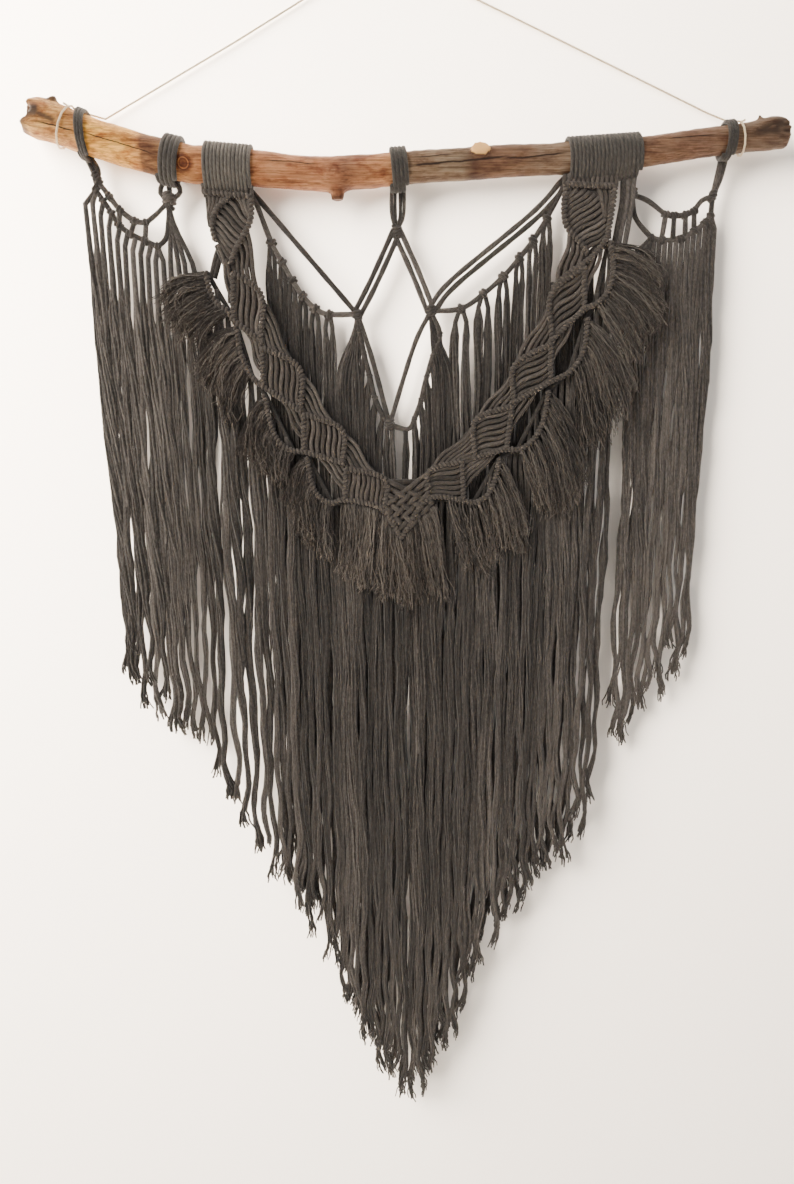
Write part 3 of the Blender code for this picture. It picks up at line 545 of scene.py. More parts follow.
def cracks_on(tree, where, parts, wander):
    """How much of a crack there is at each place of the branch. A crack is a straight line that wanders a
    little, and it closes at both ends. The cracks are painted dark, as painted shade in them."""
    front = add(tree, "Math", {"operation": "LESS_THAN"}, {0: parts.outputs["Y"], 1: BRANCH_Y * MM})
    most = None
    for first_x, first_z, last_x, last_z, gape in CRACKS:
        half = math.hypot(last_x - first_x, last_z - first_z) * MM / 2
        turned = math.atan2(last_z - first_z, last_x - first_x)
        # here the crack runs along X from its first end
        placed = add(tree, "Mapping", {"vector_type": "TEXTURE"},
                     {"Vector": where, "Location": (first_x * MM, 0.0, first_z * MM),
                      "Rotation": (0.0, -turned, 0.0)})
        beside = add(tree, "SeparateXYZ", {}, {0: placed.outputs["Vector"]})
        off = add(tree, "Math", {"operation": "MULTIPLY_ADD"},
                  {0: wander, 1: CRACK_WANDER * MM, 2: beside.outputs["Z"]})
        shares = []
        # across the crack, and along it
        for place, middle, outer, inner in (
                (off.outputs[0], CRACK_WANDER * MM / 2, gape * MM, 0.3 * gape * MM),
                (beside.outputs["X"], half, half, half - CRACK_CLOSES * MM)):
            past = add(tree, "Math", {"operation": "SUBTRACT"}, {0: place, 1: middle})
            away = add(tree, "Math", {"operation": "ABSOLUTE"}, {0: past.outputs[0]})
            share = add(tree, "MapRange", {},
                        {"Value": away.outputs[0], "From Min": outer, "From Max": inner})
            shares.append(share.outputs["Result"])
        shown = add(tree, "Math", {"operation": "MULTIPLY"}, {0: shares[0], 1: shares[1]})
        if most:
            shown = add(tree, "Math", {"operation": "MAXIMUM"}, {0: shown.outputs[0], 1: most.outputs[0]})
        most = shown
    return add(tree, "Math", {"operation": "MULTIPLY"}, {0: most.outputs[0], 1: front.outputs[0]}).outputs[0]


# the patterns of the wood: how long and how wide in mm, degrees that they are turned, then the detail, the
# roughness and the distortion of their noise
WOOD_PATTERNS = {
    "grain": (50, 1.6, -5, 4.0, 0.6, 0.25),
    "mottle": (22, 9, 0, 5.0, 0.62, 0.0),
    "stain": (30, 13, 0, 4.0, 0.6, 0.4),
}
COLOUR_EDGE = 16.0          # the edges between the branch's colours wander by at most this much
WOOD_KNOT = (-201.5, -44.0, -210.0)  # a knot in the wood beside the small wrap
WOOD_KNOT_RADIUS = 12.0


def driftwood():
    """Weathered wood, sea-worn and dry: matt, with long grain, brown mottles and cracks painted dark as their
    shade, and a pale face where a stub was sawn off."""
    made, tree, shader = blank("driftwood_weathered")
    where = add(tree, "TexCoord").outputs["Object"]
    parts = add(tree, "SeparateXYZ", {}, {0: where})
    wander = add(tree, "TexNoise", {}, {"Vector": where, "Scale": per_mm(16), "Detail": 3.0}).outputs["Fac"]
    shifted = add(tree, "Math", {"operation": "MULTIPLY_ADD"},
                  {0: wander, 1: COLOUR_EDGE * MM, 2: parts.outputs["X"]})
    first, last = WOOD_COLOURS[0][0] * MM, WOOD_COLOURS[-1][0] * MM
    share = add(tree, "MapRange", {}, {"Value": shifted.outputs[0], "From Min": first + COLOUR_EDGE / 2 * MM,
                                       "From Max": last + COLOUR_EDGE / 2 * MM})
    spread = [((x * MM - first) / (last - first), colour) for x, colour in WOOD_COLOURS]
    base = add(tree, "ValToRGB", {}, {"Fac": share.outputs["Result"]}, [spread[0], spread[-1]] + spread[1:-1])

    pattern = {}
    for name, (length, width, turn, detail, roughness, distortion) in WOOD_PATTERNS.items():
        placed = add(tree, "Mapping", {}, {"Vector": where, "Rotation": (0.0, math.radians(turn), 0.0),
                                           "Scale": (per_mm(length), per_mm(width), per_mm(width))})
        noises = add(tree, "TexNoise", {},
                     {"Vector": placed.outputs["Vector"], "Scale": 1.0, "Detail": detail,
                      "Roughness": roughness, "Distortion": distortion})
        pattern[name] = noises.outputs["Fac"]
    # the rust-brown stains are mostly on the left half
    leftward = add(tree, "MapRange", {}, {"Value": parts.outputs["X"], "From Min": 150 * MM, "From Max": 0.0,
                                          "To Min": 0.25, "To Max": 0.9})
    # the knot has a dark heart, a pale rim 5 mm out, and round it a dark ring of painted shadow
    from_knot = add(tree, "VectorMath", {"operation": "DISTANCE"}, {0: where, 1: [c * MM for c in WOOD_KNOT]})
    knot_share = add(tree, "MapRange", {}, {"Value": from_knot.outputs["Value"], "From Min": 0.0,
                                            "From Max": WOOD_KNOT_RADIUS * MM})
    colour = base.outputs["Color"]
    for amount, place, shades in (
            (0.75, pattern["grain"], [(0.34, "#7c6452"), (0.64, "#ffffff")]),
            (0.9, pattern["mottle"], [(0.3, "#9c7450"), (0.66, "#fffbea"), (0.5, "#ecdcc4")]),
            (leftward.outputs["Result"], pattern["stain"], [(0.5, "#ffffff"), (0.7, "#a8764f")]),
            (1.0, knot_share.outputs["Result"],
             [(0.0, "#6b4532"), (1.0, "#ffffff"), (0.2, "#a08470"), (0.36, "#8c7260"), (0.44, "#fff0d8"),
              (0.52, "#785f50"), (0.68, "#b09a88")])):
        shade = add(tree, "ValToRGB", {}, {"Fac": place}, shades)
        shaded = add(tree, "Mix", {"data_type": "RGBA", "blend_type": "MULTIPLY"},
                     {0: amount, 6: colour, 7: shade.outputs["Color"]})
        colour = shaded.outputs[2]
    # over all of it the sawn face; the hollow ends, the notch and peeled bark, where the hollows and the
    # notch are painted dark as their shade; and the cracks, painted dark as their shade
    sawn = add(tree, "Attribute", {"attribute_name": "sawn"}).outputs["Fac"]
    rotten = add(tree, "Attribute", {"attribute_name": "rotten"}).outputs["Fac"]
    crack = cracks_on(tree, where, parts, wander)
    for place, own in ((sawn, "#e4b06c"), (rotten, "#36281f"), (crack, "#21140d")):
        covered = add(tree, "Mix", {"data_type": "RGBA"}, {0: place, 6: colour, 7: linear(own)})
        colour = covered.outputs[2]
    tree.links.new(colour, shader.inputs["Base Color"])
    height = add(tree, "Math", {"operation": "MULTIPLY_ADD"},
                 {0: pattern["mottle"], 1: 0.6, 2: pattern["grain"]})
    bump = add(tree, "Bump", {}, {"Height": height.outputs[0], "Strength": 0.55, "Distance": 0.9 * MM})
    tree.links.new(bump.outputs["Normal"], shader.inputs["Normal"])
    shader.inputs["Roughness"].default_value = 0.72
    shader.inputs["Specular IOR Level"].default_value = 0.3
    return made


def twine():
    """Natural cotton twine, twisted hard: cream and matt, with a fine slanting twist."""
    made, tree, shader = blank("cotton_twine_cream")
    fibre = add(tree, "Attribute", {"attribute_name": "fibre"})
    twist = add(tree, "TexNoise", {}, {"Vector": fibre.outputs["Vector"], "Scale": 1 / 0.6, "Detail": 2.0})
    colour = add(tree, "ValToRGB", {}, {"Fac": twist.outputs["Fac"]}, [(0.3, "#cbb38c"), (0.7, "#eee0c4")])
    tree.links.new(colour.outputs["Color"], shader.inputs["Base Color"])
    shader.inputs["Roughness"].default_value = 0.85
    return made


def plain(name, colour):
    """A smooth matt surface of the room."""
    made = blank(name)[0]
    shader = made.node_tree.nodes["Principled BSDF"]
    shader.inputs["Base Color"].default_value = linear(colour)
    shader.inputs["Roughness"].default_value = 0.95
    shader.inputs["Specular IOR Level"].default_value = 0.1
    return made


# ---------------------------------------------------------------- camera and string
LENS = 25.84                # focal length
SENSOR = 36.0               # width of the picture behind the lens
CAMERA_PLACE = (17.3, -984.0, -458.3)
CAMERA_DOWN = 12.0          # degrees that it looks down
LOOP_STEPS = 14             # pieces of a loop of the string
LOOP_START = -20.0          # degrees from the top of the branch, towards the wall
LOOP_SWEEP = 400.0          # and the degrees that the loop goes round


def make_camera():
    """The camera in front of the wall, tipped a little down."""
    data = bpy.data.cameras.new("camera")
    data.lens = LENS
    data.sensor_width = SENSOR
    camera = bpy.data.objects.new("camera", data)
    camera.location = [c * MM for c in CAMERA_PLACE]
    camera.rotation_euler = (math.radians(90 - CAMERA_DOWN), 0.0, 0.0)
    bpy.context.scene.collection.objects.link(camera)
    bpy.context.scene.camera = camera


def string_loop(x, advance):
    """A turn of the hanging string round the branch; it advances along the branch as it goes round."""
    made = []
    reach = (along(BRANCH, x, 2) + STRING + GAP) / math.cos(math.radians(LOOP_SWEEP / LOOP_STEPS / 2))
    slope = math.atan2(along(BRANCH, x + 5, 1) - along(BRANCH, x - 5, 1), 10)
    for k in range(LOOP_STEPS + 1):
        angle = math.radians(LOOP_START + LOOP_SWEEP * k / LOOP_STEPS)
        stop = x + advance * (k / LOOP_STEPS - 0.5)
        out = reach * math.cos(angle)
        made.append((stop - out * math.sin(slope), BRANCH_Y + reach * math.sin(angle),
                     along(BRANCH, stop, 1) + out * math.cos(slope)))
    return made


def make_string():
    """The cream string: round the left end, up to the hook at the origin, and down round the right end."""
    left = string_loop(-326, 7)
    right = string_loop(373, -6)[::-1]
    left_rise = [(-290, -4.0, -157), (-150, -2.6, -83)]
    right_fall = [(150, -2.6, -66), (345, -3.6, -151.5)]
    apex = [(-2.5, -1.6, -0.6 - STRING), (0, -1.6, -STRING), (2.5, -1.6, -0.6 - STRING)]
    path = np.array(left + left_rise + apex + right_fall + right, float)
    piece = one_object("hanging_string_twine", [tube_mesh([(path, STRING, 0.5)], 10)])
    place(piece, cream_finish, "cream_string", "hanging_string")


# ---------------------------------------------------------------- the branch and what is wound round it
def cone(x, turn, foot, tip, length):
    """A stub that stands out of the branch."""
    mesh = bpy.data.meshes.new("stub")
    work = bmesh.new()
    depth = length + along(BRANCH, x, 2)
    bmesh.ops.create_cone(work, cap_ends=True, segments=20, radius1=foot * MM, radius2=tip * MM,
                          depth=depth * MM)
    bmesh.ops.translate(work, verts=work.verts, vec=(0, 0, depth / 2 * MM))
    work.to_mesh(mesh)
    work.free()
    mesh.transform(Matrix.Rotation(math.radians(turn), 4, "X"))
    mesh.transform(Matrix.Translation((x * MM, BRANCH_Y * MM, along(BRANCH, x, 1) * MM)))
    return mesh


def round_branch(x, angle, extra, upright=False):
    """A point round the branch at x: extra outside it, at an angle from straight up towards the front."""
    slope = math.atan2(along(BRANCH, x + 12, 1) - along(BRANCH, x - 12, 1), 24)
    reach = along(BRANCH, x, 2) + extra
    rise = reach * math.cos(angle)
    y = BRANCH_Y - reach * math.sin(angle)
    if upright:
        return x, y, along(BRANCH, x, 1) + rise / math.cos(slope)
    return x - rise * math.sin(slope), y, along(BRANCH, x, 1) + rise * math.cos(slope)


def splinter(turn, tip_x, radius):
    """A splinter of the broken end. It tapers to half its radius and stands a little out."""
    reach = along(BRANCH, SPLINTER_RIM, 2) - radius
    angle = math.radians(turn)
    foot = Vector(round_branch(SPLINTER_FOOT, angle, reach - along(BRANCH, SPLINTER_FOOT, 2)))
    tip = Vector(round_branch(tip_x, angle, reach + 2.5 - along(BRANCH, tip_x, 2)))
    return tube_mesh([(np.array([foot, (foot + tip) / 2, tip]), [radius, radius, radius * 0.5], 0.5)], 10)


def grown_branch():
    """A crooked tube, its stubs and its splinters, grown together into one skin."""
    path = curved([(x, BRANCH_Y, z) for x, z, radius in BRANCH], 3)
    path = path[path[:, 0] > SPLINTER_RIM - 5]
    radii = np.array([along(BRANCH, x, 2) for x in path[:, 0]])
    meshes = [tube_mesh([(path, radii, 0.5)], 32)]
    meshes += [cone(*row) for row in STUBS] + [splinter(*row) for row in SPLINTERS]
    whole = one_object("driftwood_branch", meshes)
    grown = whole.modifiers.new("grown_together", "REMESH")
    grown.mode = "VOXEL"
    grown.voxel_size = SKIN_STEP * MM
    graph = bpy.context.evaluated_depsgraph_get()
    mesh = bpy.data.meshes.new_from_object(whole.evaluated_get(graph), depsgraph=graph)
    bpy.data.objects.remove(whole, do_unlink=True)
    return mesh


def worn(x, y, z):
    """What wear does to the branch at a point of its skin: which way and how far the point moves outwards,
    how far it moves to the right, how dark it is, where its hollow ends and notch are painted dark as their
    shade, and how pale where it was sawn."""
    middle = along(BRANCH, x, 1)
    square = Vector((0, y - BRANCH_Y, z - middle))
    across = square.length
    front = float(y < BRANCH_Y)
    # swells and dents, but none under the wound cord
    bound = max(eased(min(x - first, last - x) / 6 + 1.2) for node, first, last, turns, upright in WRAPS)
    large = noise.noise(Vector((x / 34, y / 18, z / 18))) * 0.9
    small = noise.noise(Vector((x / 9, y / 6, z / 6))) * 0.45
    out = min(large + small, 0.5) * (1.0 - float(bound)) - 0.5
    swelling = float(eased(1 - abs(x - LOWER_STUB) / 18)) * float(z < middle) * float(across < 19)

    # the hollow ends, and at the broken one the notch and a strip of bark that is left behind it
    broken = fades(HOLLOW_LEFT - x, 5) * fades(HOLLOW_RADIUS - across, 4)
    rotten = fades(x - HOLLOW_RIGHT, 5) * fades(HOLLOW_RADIUS - across, 3)
    notch = fades(NOTCH[0] - x, 7) * float(eased(1.4 - abs(z - NOTCH[1]) / 7)) * front
    bark_x, strip_x, strip_z = BARK_STRIP
    off_strip = abs(z - strip_z + 0.4 * (x - strip_x))
    bark = fades(bark_x - x, 8) * float(eased(1.5 - off_strip / 3)) * front
    # the bark that peels in patches from a band that widens towards the other end
    past = x - PEELING
    off_band = abs(z - middle - 1 - 0.08 * past)
    patches = float(eased(1.8 * noise.noise(Vector((x / 11, y / 7, z / 4))) + 0.95))
    peeled = fades(past, 12) * float(eased(1.5 - off_band / (2 + 0.22 * max(past, 0)))) * (patches * front)

    out += 1.8 * swelling - 3.0 * peeled - 1.2 * bark
    right = broken * 13 + notch * 2 - rotten * 20
    rim = fades(DARK_RIM - x, 5)
    # how dark it is: the hollow ends and the notch are painted dark as the shade in them
    dark = max(broken * 0.95, rim * 0.6, rotten * 0.95, notch * 0.95, peeled * 0.9, bark * 0.85)
    # the dark tips of the upper stubs, and the darker end of the lower one
    left_tip = abs(x - LEFT_TIP_STUB) < 8 and across > 21 and z > middle
    right_tip = abs(x - RIGHT_TIP_STUB) < 4 and across > 18
    lower_end = abs(x - LOWER_STUB) < 9 and z < middle - 22
    dark = max(dark, 0.85 if left_tip or right_tip else 0.0, 0.4 if lower_end else 0.0)
    sawn_x, turn = SAWN_STUB
    lift = (z - middle) * math.cos(math.radians(turn)) - (y - BRANCH_Y) * math.sin(math.radians(turn))
    face = abs(x - sawn_x) < 10 and lift > along(BRANCH, x, 2) + 1.6
    return square.normalized() * out, right, dark, 0.95 if face else 0.0


def make_branch():
    """The driftwood: grown together, smoothed a little, and worn."""
    mesh = grown_branch()
    work = bmesh.new()
    work.from_mesh(mesh)
    for step in range(2):
        bmesh.ops.smooth_vert(work, verts=work.verts, factor=0.5,
                              use_axis_x=True, use_axis_y=True, use_axis_z=True)
    dark, pale = [], []
    for vert in work.verts:
        out, right, rotten, sawn = worn(*(c / MM for c in vert.co))
        vert.co += out * MM
        vert.co.x += right * MM
        dark.append(rotten)
        pale.append(sawn)
    work.to_mesh(mesh)
    work.free()
    mesh.attributes.new("rotten", "FLOAT", "POINT").data.foreach_set("value", dark)
    mesh.attributes.new("sawn", "FLOAT", "POINT").data.foreach_set("value", pale)
    place(one_object("driftwood_branch", [mesh]), wood_finish, "driftwood", "branch")


def make_wraps():
    """The rings and sleeves of cord that hold the knotted work on the branch."""
    reach = GAP + WRAP_CORD / 2
    for node, first, last, turns, upright in WRAPS:
        pitch = (last - first) / turns
        steps = WRAP_STEPS * turns
        path, groove = [], []
        for k in range(steps + 1):
            turn = k / WRAP_STEPS
            angle = math.pi + turn * 2 * math.pi - 0.5
            lean = 0.22 * math.sin(turn * 1.7 + first)
            x = first + pitch / 2 + (last - first - pitch) * k / steps + lean
            point = round_branch(x, angle, reach, upright)
            # below the branch the turns of a wide wrap hang a little low
            below = max(0.0, along(BRANCH, x, 1) - point[2]) / 20
            sag = 0.1 * (last - first) * below ** 2 * float(eased(min(x - first, last - x) / 12 + 0.4))
            path.append((point[0], point[1], point[2] - sag))
            if k < steps - WRAP_STEPS:
                groove.append(round_branch(x + pitch / 2, angle, reach - 0.3, upright))
        # painted light and shade: the wide wraps are painted lighter towards the left, where the light comes
        # from, and those of few turns darker, as painted shade
        wide = 1.0 if turns > 5 else 0.2
        painted_light_tone = float(np.interp((first + last) / 2, [-310, 360], [0.9, 0.2])) * wide
        tones = painted_light_tone + 0.3 * rng.random(len(path))
        blur = WRAP_STEPS // 2
        weights = np.ones(2 * blur + 1) / (2 * blur + 1)
        tones = np.convolve(np.pad(tones, blur, mode="edge"), weights, mode="valid")
        # painted shade: a darkest cord lies between its turns, where the cord of the turns meets
        turns_mesh = tube_mesh([(np.array(path), pitch * 0.49, tones)], 10)
        groove_mesh = tube_mesh([(np.array(groove), pitch * 0.28, 0.0)], 6)
        piece = one_object(node + "_cord", [turns_mesh, groove_mesh])
        place(piece, wrap_finish, "charcoal_cotton", node)


def under_wrap(x, y):
    """The height of a bar that is tied up against the underside of a wrap."""
    reach = along(BRANCH, x, 2) + WRAP_CORD + 2.2
    return along(BRANCH, x, 1) - math.sqrt(reach ** 2 - (y - BRANCH_Y) ** 2)


# ---------------------------------------------------------------- knotted cord
def cord(points, y, radius=NET_CORD, bow=0.0):
    """One cord through x, z points, a little uneven; it may bulge out of the wall."""
    path = evenly(curved(flat(points, y), 4), 4)
    share = travelled(path) / travelled(path)[-1]
    path[:, 1] -= bow * np.sin(share * math.pi)
    rng.uniform()  # this draw is passed over, and keeps the others at their places
    radii = radius * rng.uniform(0.95, 1.05) * (1 + 0.05 * np.sin(travelled(path) / 5 + rng.uniform(0, 6)))
    return path, radii, tone_of()


def shaded(points, y, radius, tone=0.0):
    """A cord that lies behind others, painted dark as their shade."""
    return (*cord(points, y, radius)[:2], tone)


def bar(points):
    """A ridged bar: cords laid together with another hitched round them."""
    path = evenly(curved(flat(points, BAND_Y - BAR_PROUD), HITCH_LAY), HITCH_LAY)
    ridges = coil(path, HITCH_REACH, HITCH_LAY * rng.uniform(0.96, 1.04), rng.uniform(0, 6))
    tones = 0.5 + 0.12 * np.sin(np.arange(len(ridges)) * 0.37 + rng.uniform(0, 6))
    return [(path, BAR_CORE, 0.35), (ridges, HITCH_CORD, tones)]


def knot(x, z, y, ahead, size, turns):
    """A knot on a cord that runs ahead: loops drawn tight round it. Its size is its radius."""
    ahead = np.array([ahead[0], 0.0, ahead[1]], float)
    ahead /= np.linalg.norm(ahead)
    middle = np.array([x, y, z], float)
    loop = min(CORD * 1.05, size * 0.45)
    half = turns * loop * 0.85
    path = np.array([middle - ahead * half, middle, middle + ahead * half])
    wound = coil(path, size - loop, 2 * half / turns, rng.uniform(0, 6))
    swell = np.sin(np.linspace(0.2, 0.8, len(wound)) * math.pi)
    heart = (evenly(path, half / 2), max(size - loop * 1.3, 1.5), 0.4)
    return [heart, (wound, loop * (0.62 + 0.42 * swell), tone_of(0.1))]


def apart(edge_a, edge_b):
    """How far the outer ones of the cords between two edges are from each other, square to the cords."""
    ahead = on_line(edge_b, 0.5) - on_line(edge_a, 0.5)
    ahead /= np.linalg.norm(ahead)
    across = [np.array(edge[-1], float) - np.array(edge[0], float) for edge in (edge_a, edge_b)]
    return max(abs(row[0] * ahead[1] - row[1] * ahead[0]) for row in across)


def filled(edge_a, edge_b, radius=PADDED_CORD, pitch=PADDED_PITCH, bow=0.9, y=BAND_Y + 0.6):
    """Soft cords side by side from one edge to another, and darker ones behind that close the gaps, painted
    dark as shade.
    """
    count = max(2, round(apart(edge_a, edge_b) / pitch))
    made = []
    for k in range(count):
        share = (k + 0.5) / count
        a, b = on_line(edge_a, share), on_line(edge_b, share)
        lean = np.array([a[1] - b[1], b[0] - a[0]]) * rng.uniform(0.015, 0.05)
        made.append(cord([a, a * 0.7 + b * 0.3 + lean, a * 0.3 + b * 0.7 - lean, b], y, radius, bow))
        a, b = on_line(edge_a, k / count), on_line(edge_b, k / count)
        made.append(shaded([a, b], y + BACK_CORDS, radius + 0.5))
    return made


def first_cell(side):
    """The bar under the wide wrap and those of the first cell, with the loops that hang from the wrap."""
    top = TOP_BARS[side]
    ridged = bar(top)
    for points in FIRST_BARS[side]:
        ridged += bar(points)
    loops = []
    count = int((top[-1][0] - top[0][0]) / 4.6)
    for k in range(count + 1):
        x = top[0][0] + (top[-1][0] - top[0][0]) * k / count
        loops.append(cord([(x, under_wrap(x, BAND_Y) + 4), (x, along(top, x, 1))], BAND_Y, 2.2))
    # two cords behind the top bar, painted dark as shade
    for lift in (3.5, -1.5):
        loops.append(shaded([(x, z + lift) for x, z in top], BAND_Y + 3.5, 3.2))
    return ridged, loops


def lower_line(side, number):
    """The line of a scalloped bar, which runs on along its cell's lower edge and a little past its corner, or
    from the last cell to the point of the V."""
    inner, outer = CELLS[side][number][2:]
    if number == len(CELLS[side]) - 1:
        return SCALLOPS[side][number] + [outer, inner, POINT]
    more = (Vector(inner) - Vector(outer)).normalized() * 3.0
    return SCALLOPS[side][number] + [outer, tuple(Vector(inner) + more)]


def fan(from_near, from_far, to_near, to_far):
    """Cords that run from one cell to the next."""
    return filled([from_near, from_far], [to_near, to_far], FAN_CORD, FAN_PITCH, 0.4, BAND_Y + 1.0)


def partly(start, end, share):
    """The point a share of the way from one x, z point to another."""
    return tuple(Vector(start).lerp(Vector(end), share))


def make_band():
    """The V band: two chains of padded cells that meet in a woven diamond."""
    ridged = []
    # the dark cords behind the first cells: painted shade
    soft = [shaded(line, BAND_Y + 4.2, 4.6) for line in FIRST_BACKINGS]
    for start, end in FIRST_CORDS:
        soft += filled(start, end, FAN_CORD + 0.15, FAN_PITCH + 0.4)
    for side, cells in CELLS.items():
        bars, loops = first_cell(side)
        ridged += bars
        soft += loops
        for number, (outer_top, inner_top, inner_low, outer_low) in enumerate(cells):
            ridged += bar(lower_line(side, number))
            ridged += bar([outer_top, inner_top, inner_low]) + bar([outer_top, outer_low])
            # the cords of a cell run down on the left side, and across on the right one
            if side == "left":
                soft += filled([outer_top, inner_top], [outer_low, inner_low])
            else:
                soft += filled([inner_top, inner_low], [outer_top, outer_low])
            if number + 1 < len(cells):
                next_outer, next_inner, next_low = [cells[number + 1][k] for k in (0, 1, 3)]
                soft += fan(inner_low, inner_top, next_outer, next_inner)
                soft += fan(inner_low, partly(inner_low, outer_low, 0.75),
                            next_outer, partly(next_outer, next_low, 0.8))
    soft += diamond()
    piece = one_object("v_band_cords", [tube_mesh(ridged, 6), tube_mesh(soft, 8)])
    place(piece, band_finish, "charcoal_cotton", "v_band")


def diamond():
    """The woven diamond at the point of the V: cords of the two sides pass over and under."""
    made = []
    weave = [([(4, -532), (1, -566)], [(58, -559), (23, -598)], 1.0),
             ([(54, -524), (57, -558)], [(1, -564), (21, -598)], -1.0)]
    for start, end, turn in weave:
        for k in range(WOVEN):
            share = k / (WOVEN - 1)
            path = evenly(flat([on_line(start, share), on_line(end, share)], BAND_Y - 0.8), 2.4)
            stops = travelled(path) / travelled(path)[-1]
            path[:, 1] += turn * 2.1 * np.cos(math.pi * (stops * (WOVEN - 1) + k))
            made.append((path, 2.8, 0.75 * tone_of()))
    # level cords behind it, painted dark as its shade, shorter towards its point
    for k in range(9):
        z = -536 - 6.5 * k
        half = min(27.0, (600 + z) * 0.9 + 4)
        made.append((flat([(27 - half, z), (27 + half, z)], BAND_Y + 4.4), 3.6, 0.0))
    return made


# ---------------------------------------------------------------- combed fringe
def strand(x, z, fall, y, width=STRAND_WIDTH, yarns=STRAND_YARNS, corded=0.0, opens=60.0, drift=0.0,
           swing=SWING, twisted=240.0):
    """A hanging cord, combed out into yarns round a core. From its root at x, z it swings to its own place,
    fall, and opens below what stays corded. Towards the sides of the work it twists together again above its
    frayed tip, and its tone there is painted lighter, as painted light."""
    tip = max(along(TIPS, fall, 1) + 6 + float(np.clip(rng.normal(0, 1), -2, 2)) * TIP_SPREAD, LOWEST)
    length = z - tip
    body = np.linspace(0, length - FRAYED, max(4, round((length - FRAYED) / COMBED_STEP)))
    s = np.concatenate([body[:1], body[1:2] * 0.4, body[1:], length - FRAYED * (1 - np.arange(1, 9) / 8)])
    lean = rng.uniform(0, 2 * math.pi, 5)

    def towards_tip(start, over):
        """From 0 to 1 on the way down: from so far above the tip, and over a length."""
        return eased((s - length + start) / over)

    # where it hangs in the work
    aside = ramp(abs(fall - POINT[0]) - 120, 60)
    far_left = ramp(-225 - fall, 30)
    painted_side_light = 0.34 * ramp(-205 - fall, 60) + 0.24 * ramp(fall - 240, 40)

    # the line that it hangs in
    settled = eased(s / 130)
    middle_x = x + (fall - x) * eased(s / swing) + drift * s / length
    wavy = 0.4 + 1.2 * towards_tip(300, 300) + 2.2 * towards_tip(110, 110)
    middle_x = middle_x + settled * (1.8 * np.sin(s / rng.uniform(30, 50) + lean[0])
                                     + wavy * np.sin(s / rng.uniform(11, 16) + lean[1]))
    middle_y = y + settled * 0.9 * np.sin(s / 41 + lean[2])

    # how far its yarns spread
    opened = eased((s - corded) / opens)
    closed = (0.38 + 0.2 * aside) * towards_tip(twisted, twisted * 0.7) * (1 - towards_tip(30, 30))
    kinks = 1 + rng.normal(0, 0.07, len(s)) * settled
    spread = CORD * 0.3 + (width - CORD * 0.3) * opened * (1 - closed)
    uneven = 0.14 * np.sin(s / 26 + lean[3]) + 0.1 * np.sin(s / 8.5 + lean[4])
    spread = spread * (1 + uneven * opened) * kinks

    # its tone, with painted light: lighter at the sides of the work than in its middle, and lighter still at
    # the far left and the far right; and the core, painted darker inside its yarns as painted shade
    own_tone = rng.normal(0.4, 0.16) + 0.12 * aside + painted_side_light
    lower = (0.16 - 0.36 * far_left) * towards_tip(350, 300) - 0.3 * towards_tip(45, 40)
    near_tip = towards_tip(52, 52)
    core = (NET_CORD + (0.72 * width - NET_CORD) * opened) * (1 - 0.4 * closed) * kinks * (1 - 0.3 * near_tip)
    core_path = np.stack([middle_x, middle_y + 0.6, z - s * 0.985], axis=1)
    made = [(core_path, core, np.clip(own_tone - 0.12 + lower, 0, 1))]
    for k in range(yarns):
        round_at = 2 * math.pi * (k + rng.uniform(-0.3, 0.3)) / yarns
        round_at = round_at + 0.7 * np.sin(s / 70 + rng.uniform(0, 6)) + s / (120 - 70 * aside)
        share = rng.uniform(0.7, 1.0)
        fray = rng.uniform(-1, 1) * 4.5 * near_tip ** 4
        crimp = near_tip * 0.8 * np.sin(s / 2.6 + rng.uniform(0, 6)) + rng.normal(0, 0.2, len(s)) * settled
        wisp = 0.4 * opened * np.sin(s / rng.uniform(8, 20) + rng.uniform(0, 6))
        px = middle_x + spread * share * np.cos(round_at) + fray + crimp + wisp
        py = middle_y + spread * 0.62 * share * np.sin(round_at) + fray * 0.3 * rng.uniform(-1, 1)
        reach = 1 - rng.uniform(-2, 7) / length
        thick = (0.3 * width + 0.15) * (0.75 + 0.25 * opened) * (1 - 0.3 * near_tip ** 3)
        thick = thick * rng.uniform(0.8, 1.15) * (1 + rng.normal(0, 0.08, len(s)))
        path = np.stack([px, np.minimum(py, NEAREST_WALL), z - s * reach], axis=1)
        tone = np.clip(own_tone + lower + rng.normal(0, 0.08) + rng.normal(0, 0.07, len(s)), 0, 1)
        made.append((path, np.maximum(thick, 0.4), tone))
    return made


def combed(strands):
    """The meshes of combed strands: their round cores, and the yarns round them."""
    cores = [parts[0] for parts in strands]
    yarns = [yarn for parts in strands for yarn in parts[1:]]
    return [tube_mesh(cores, 6), tube_mesh(yarns, 3)]


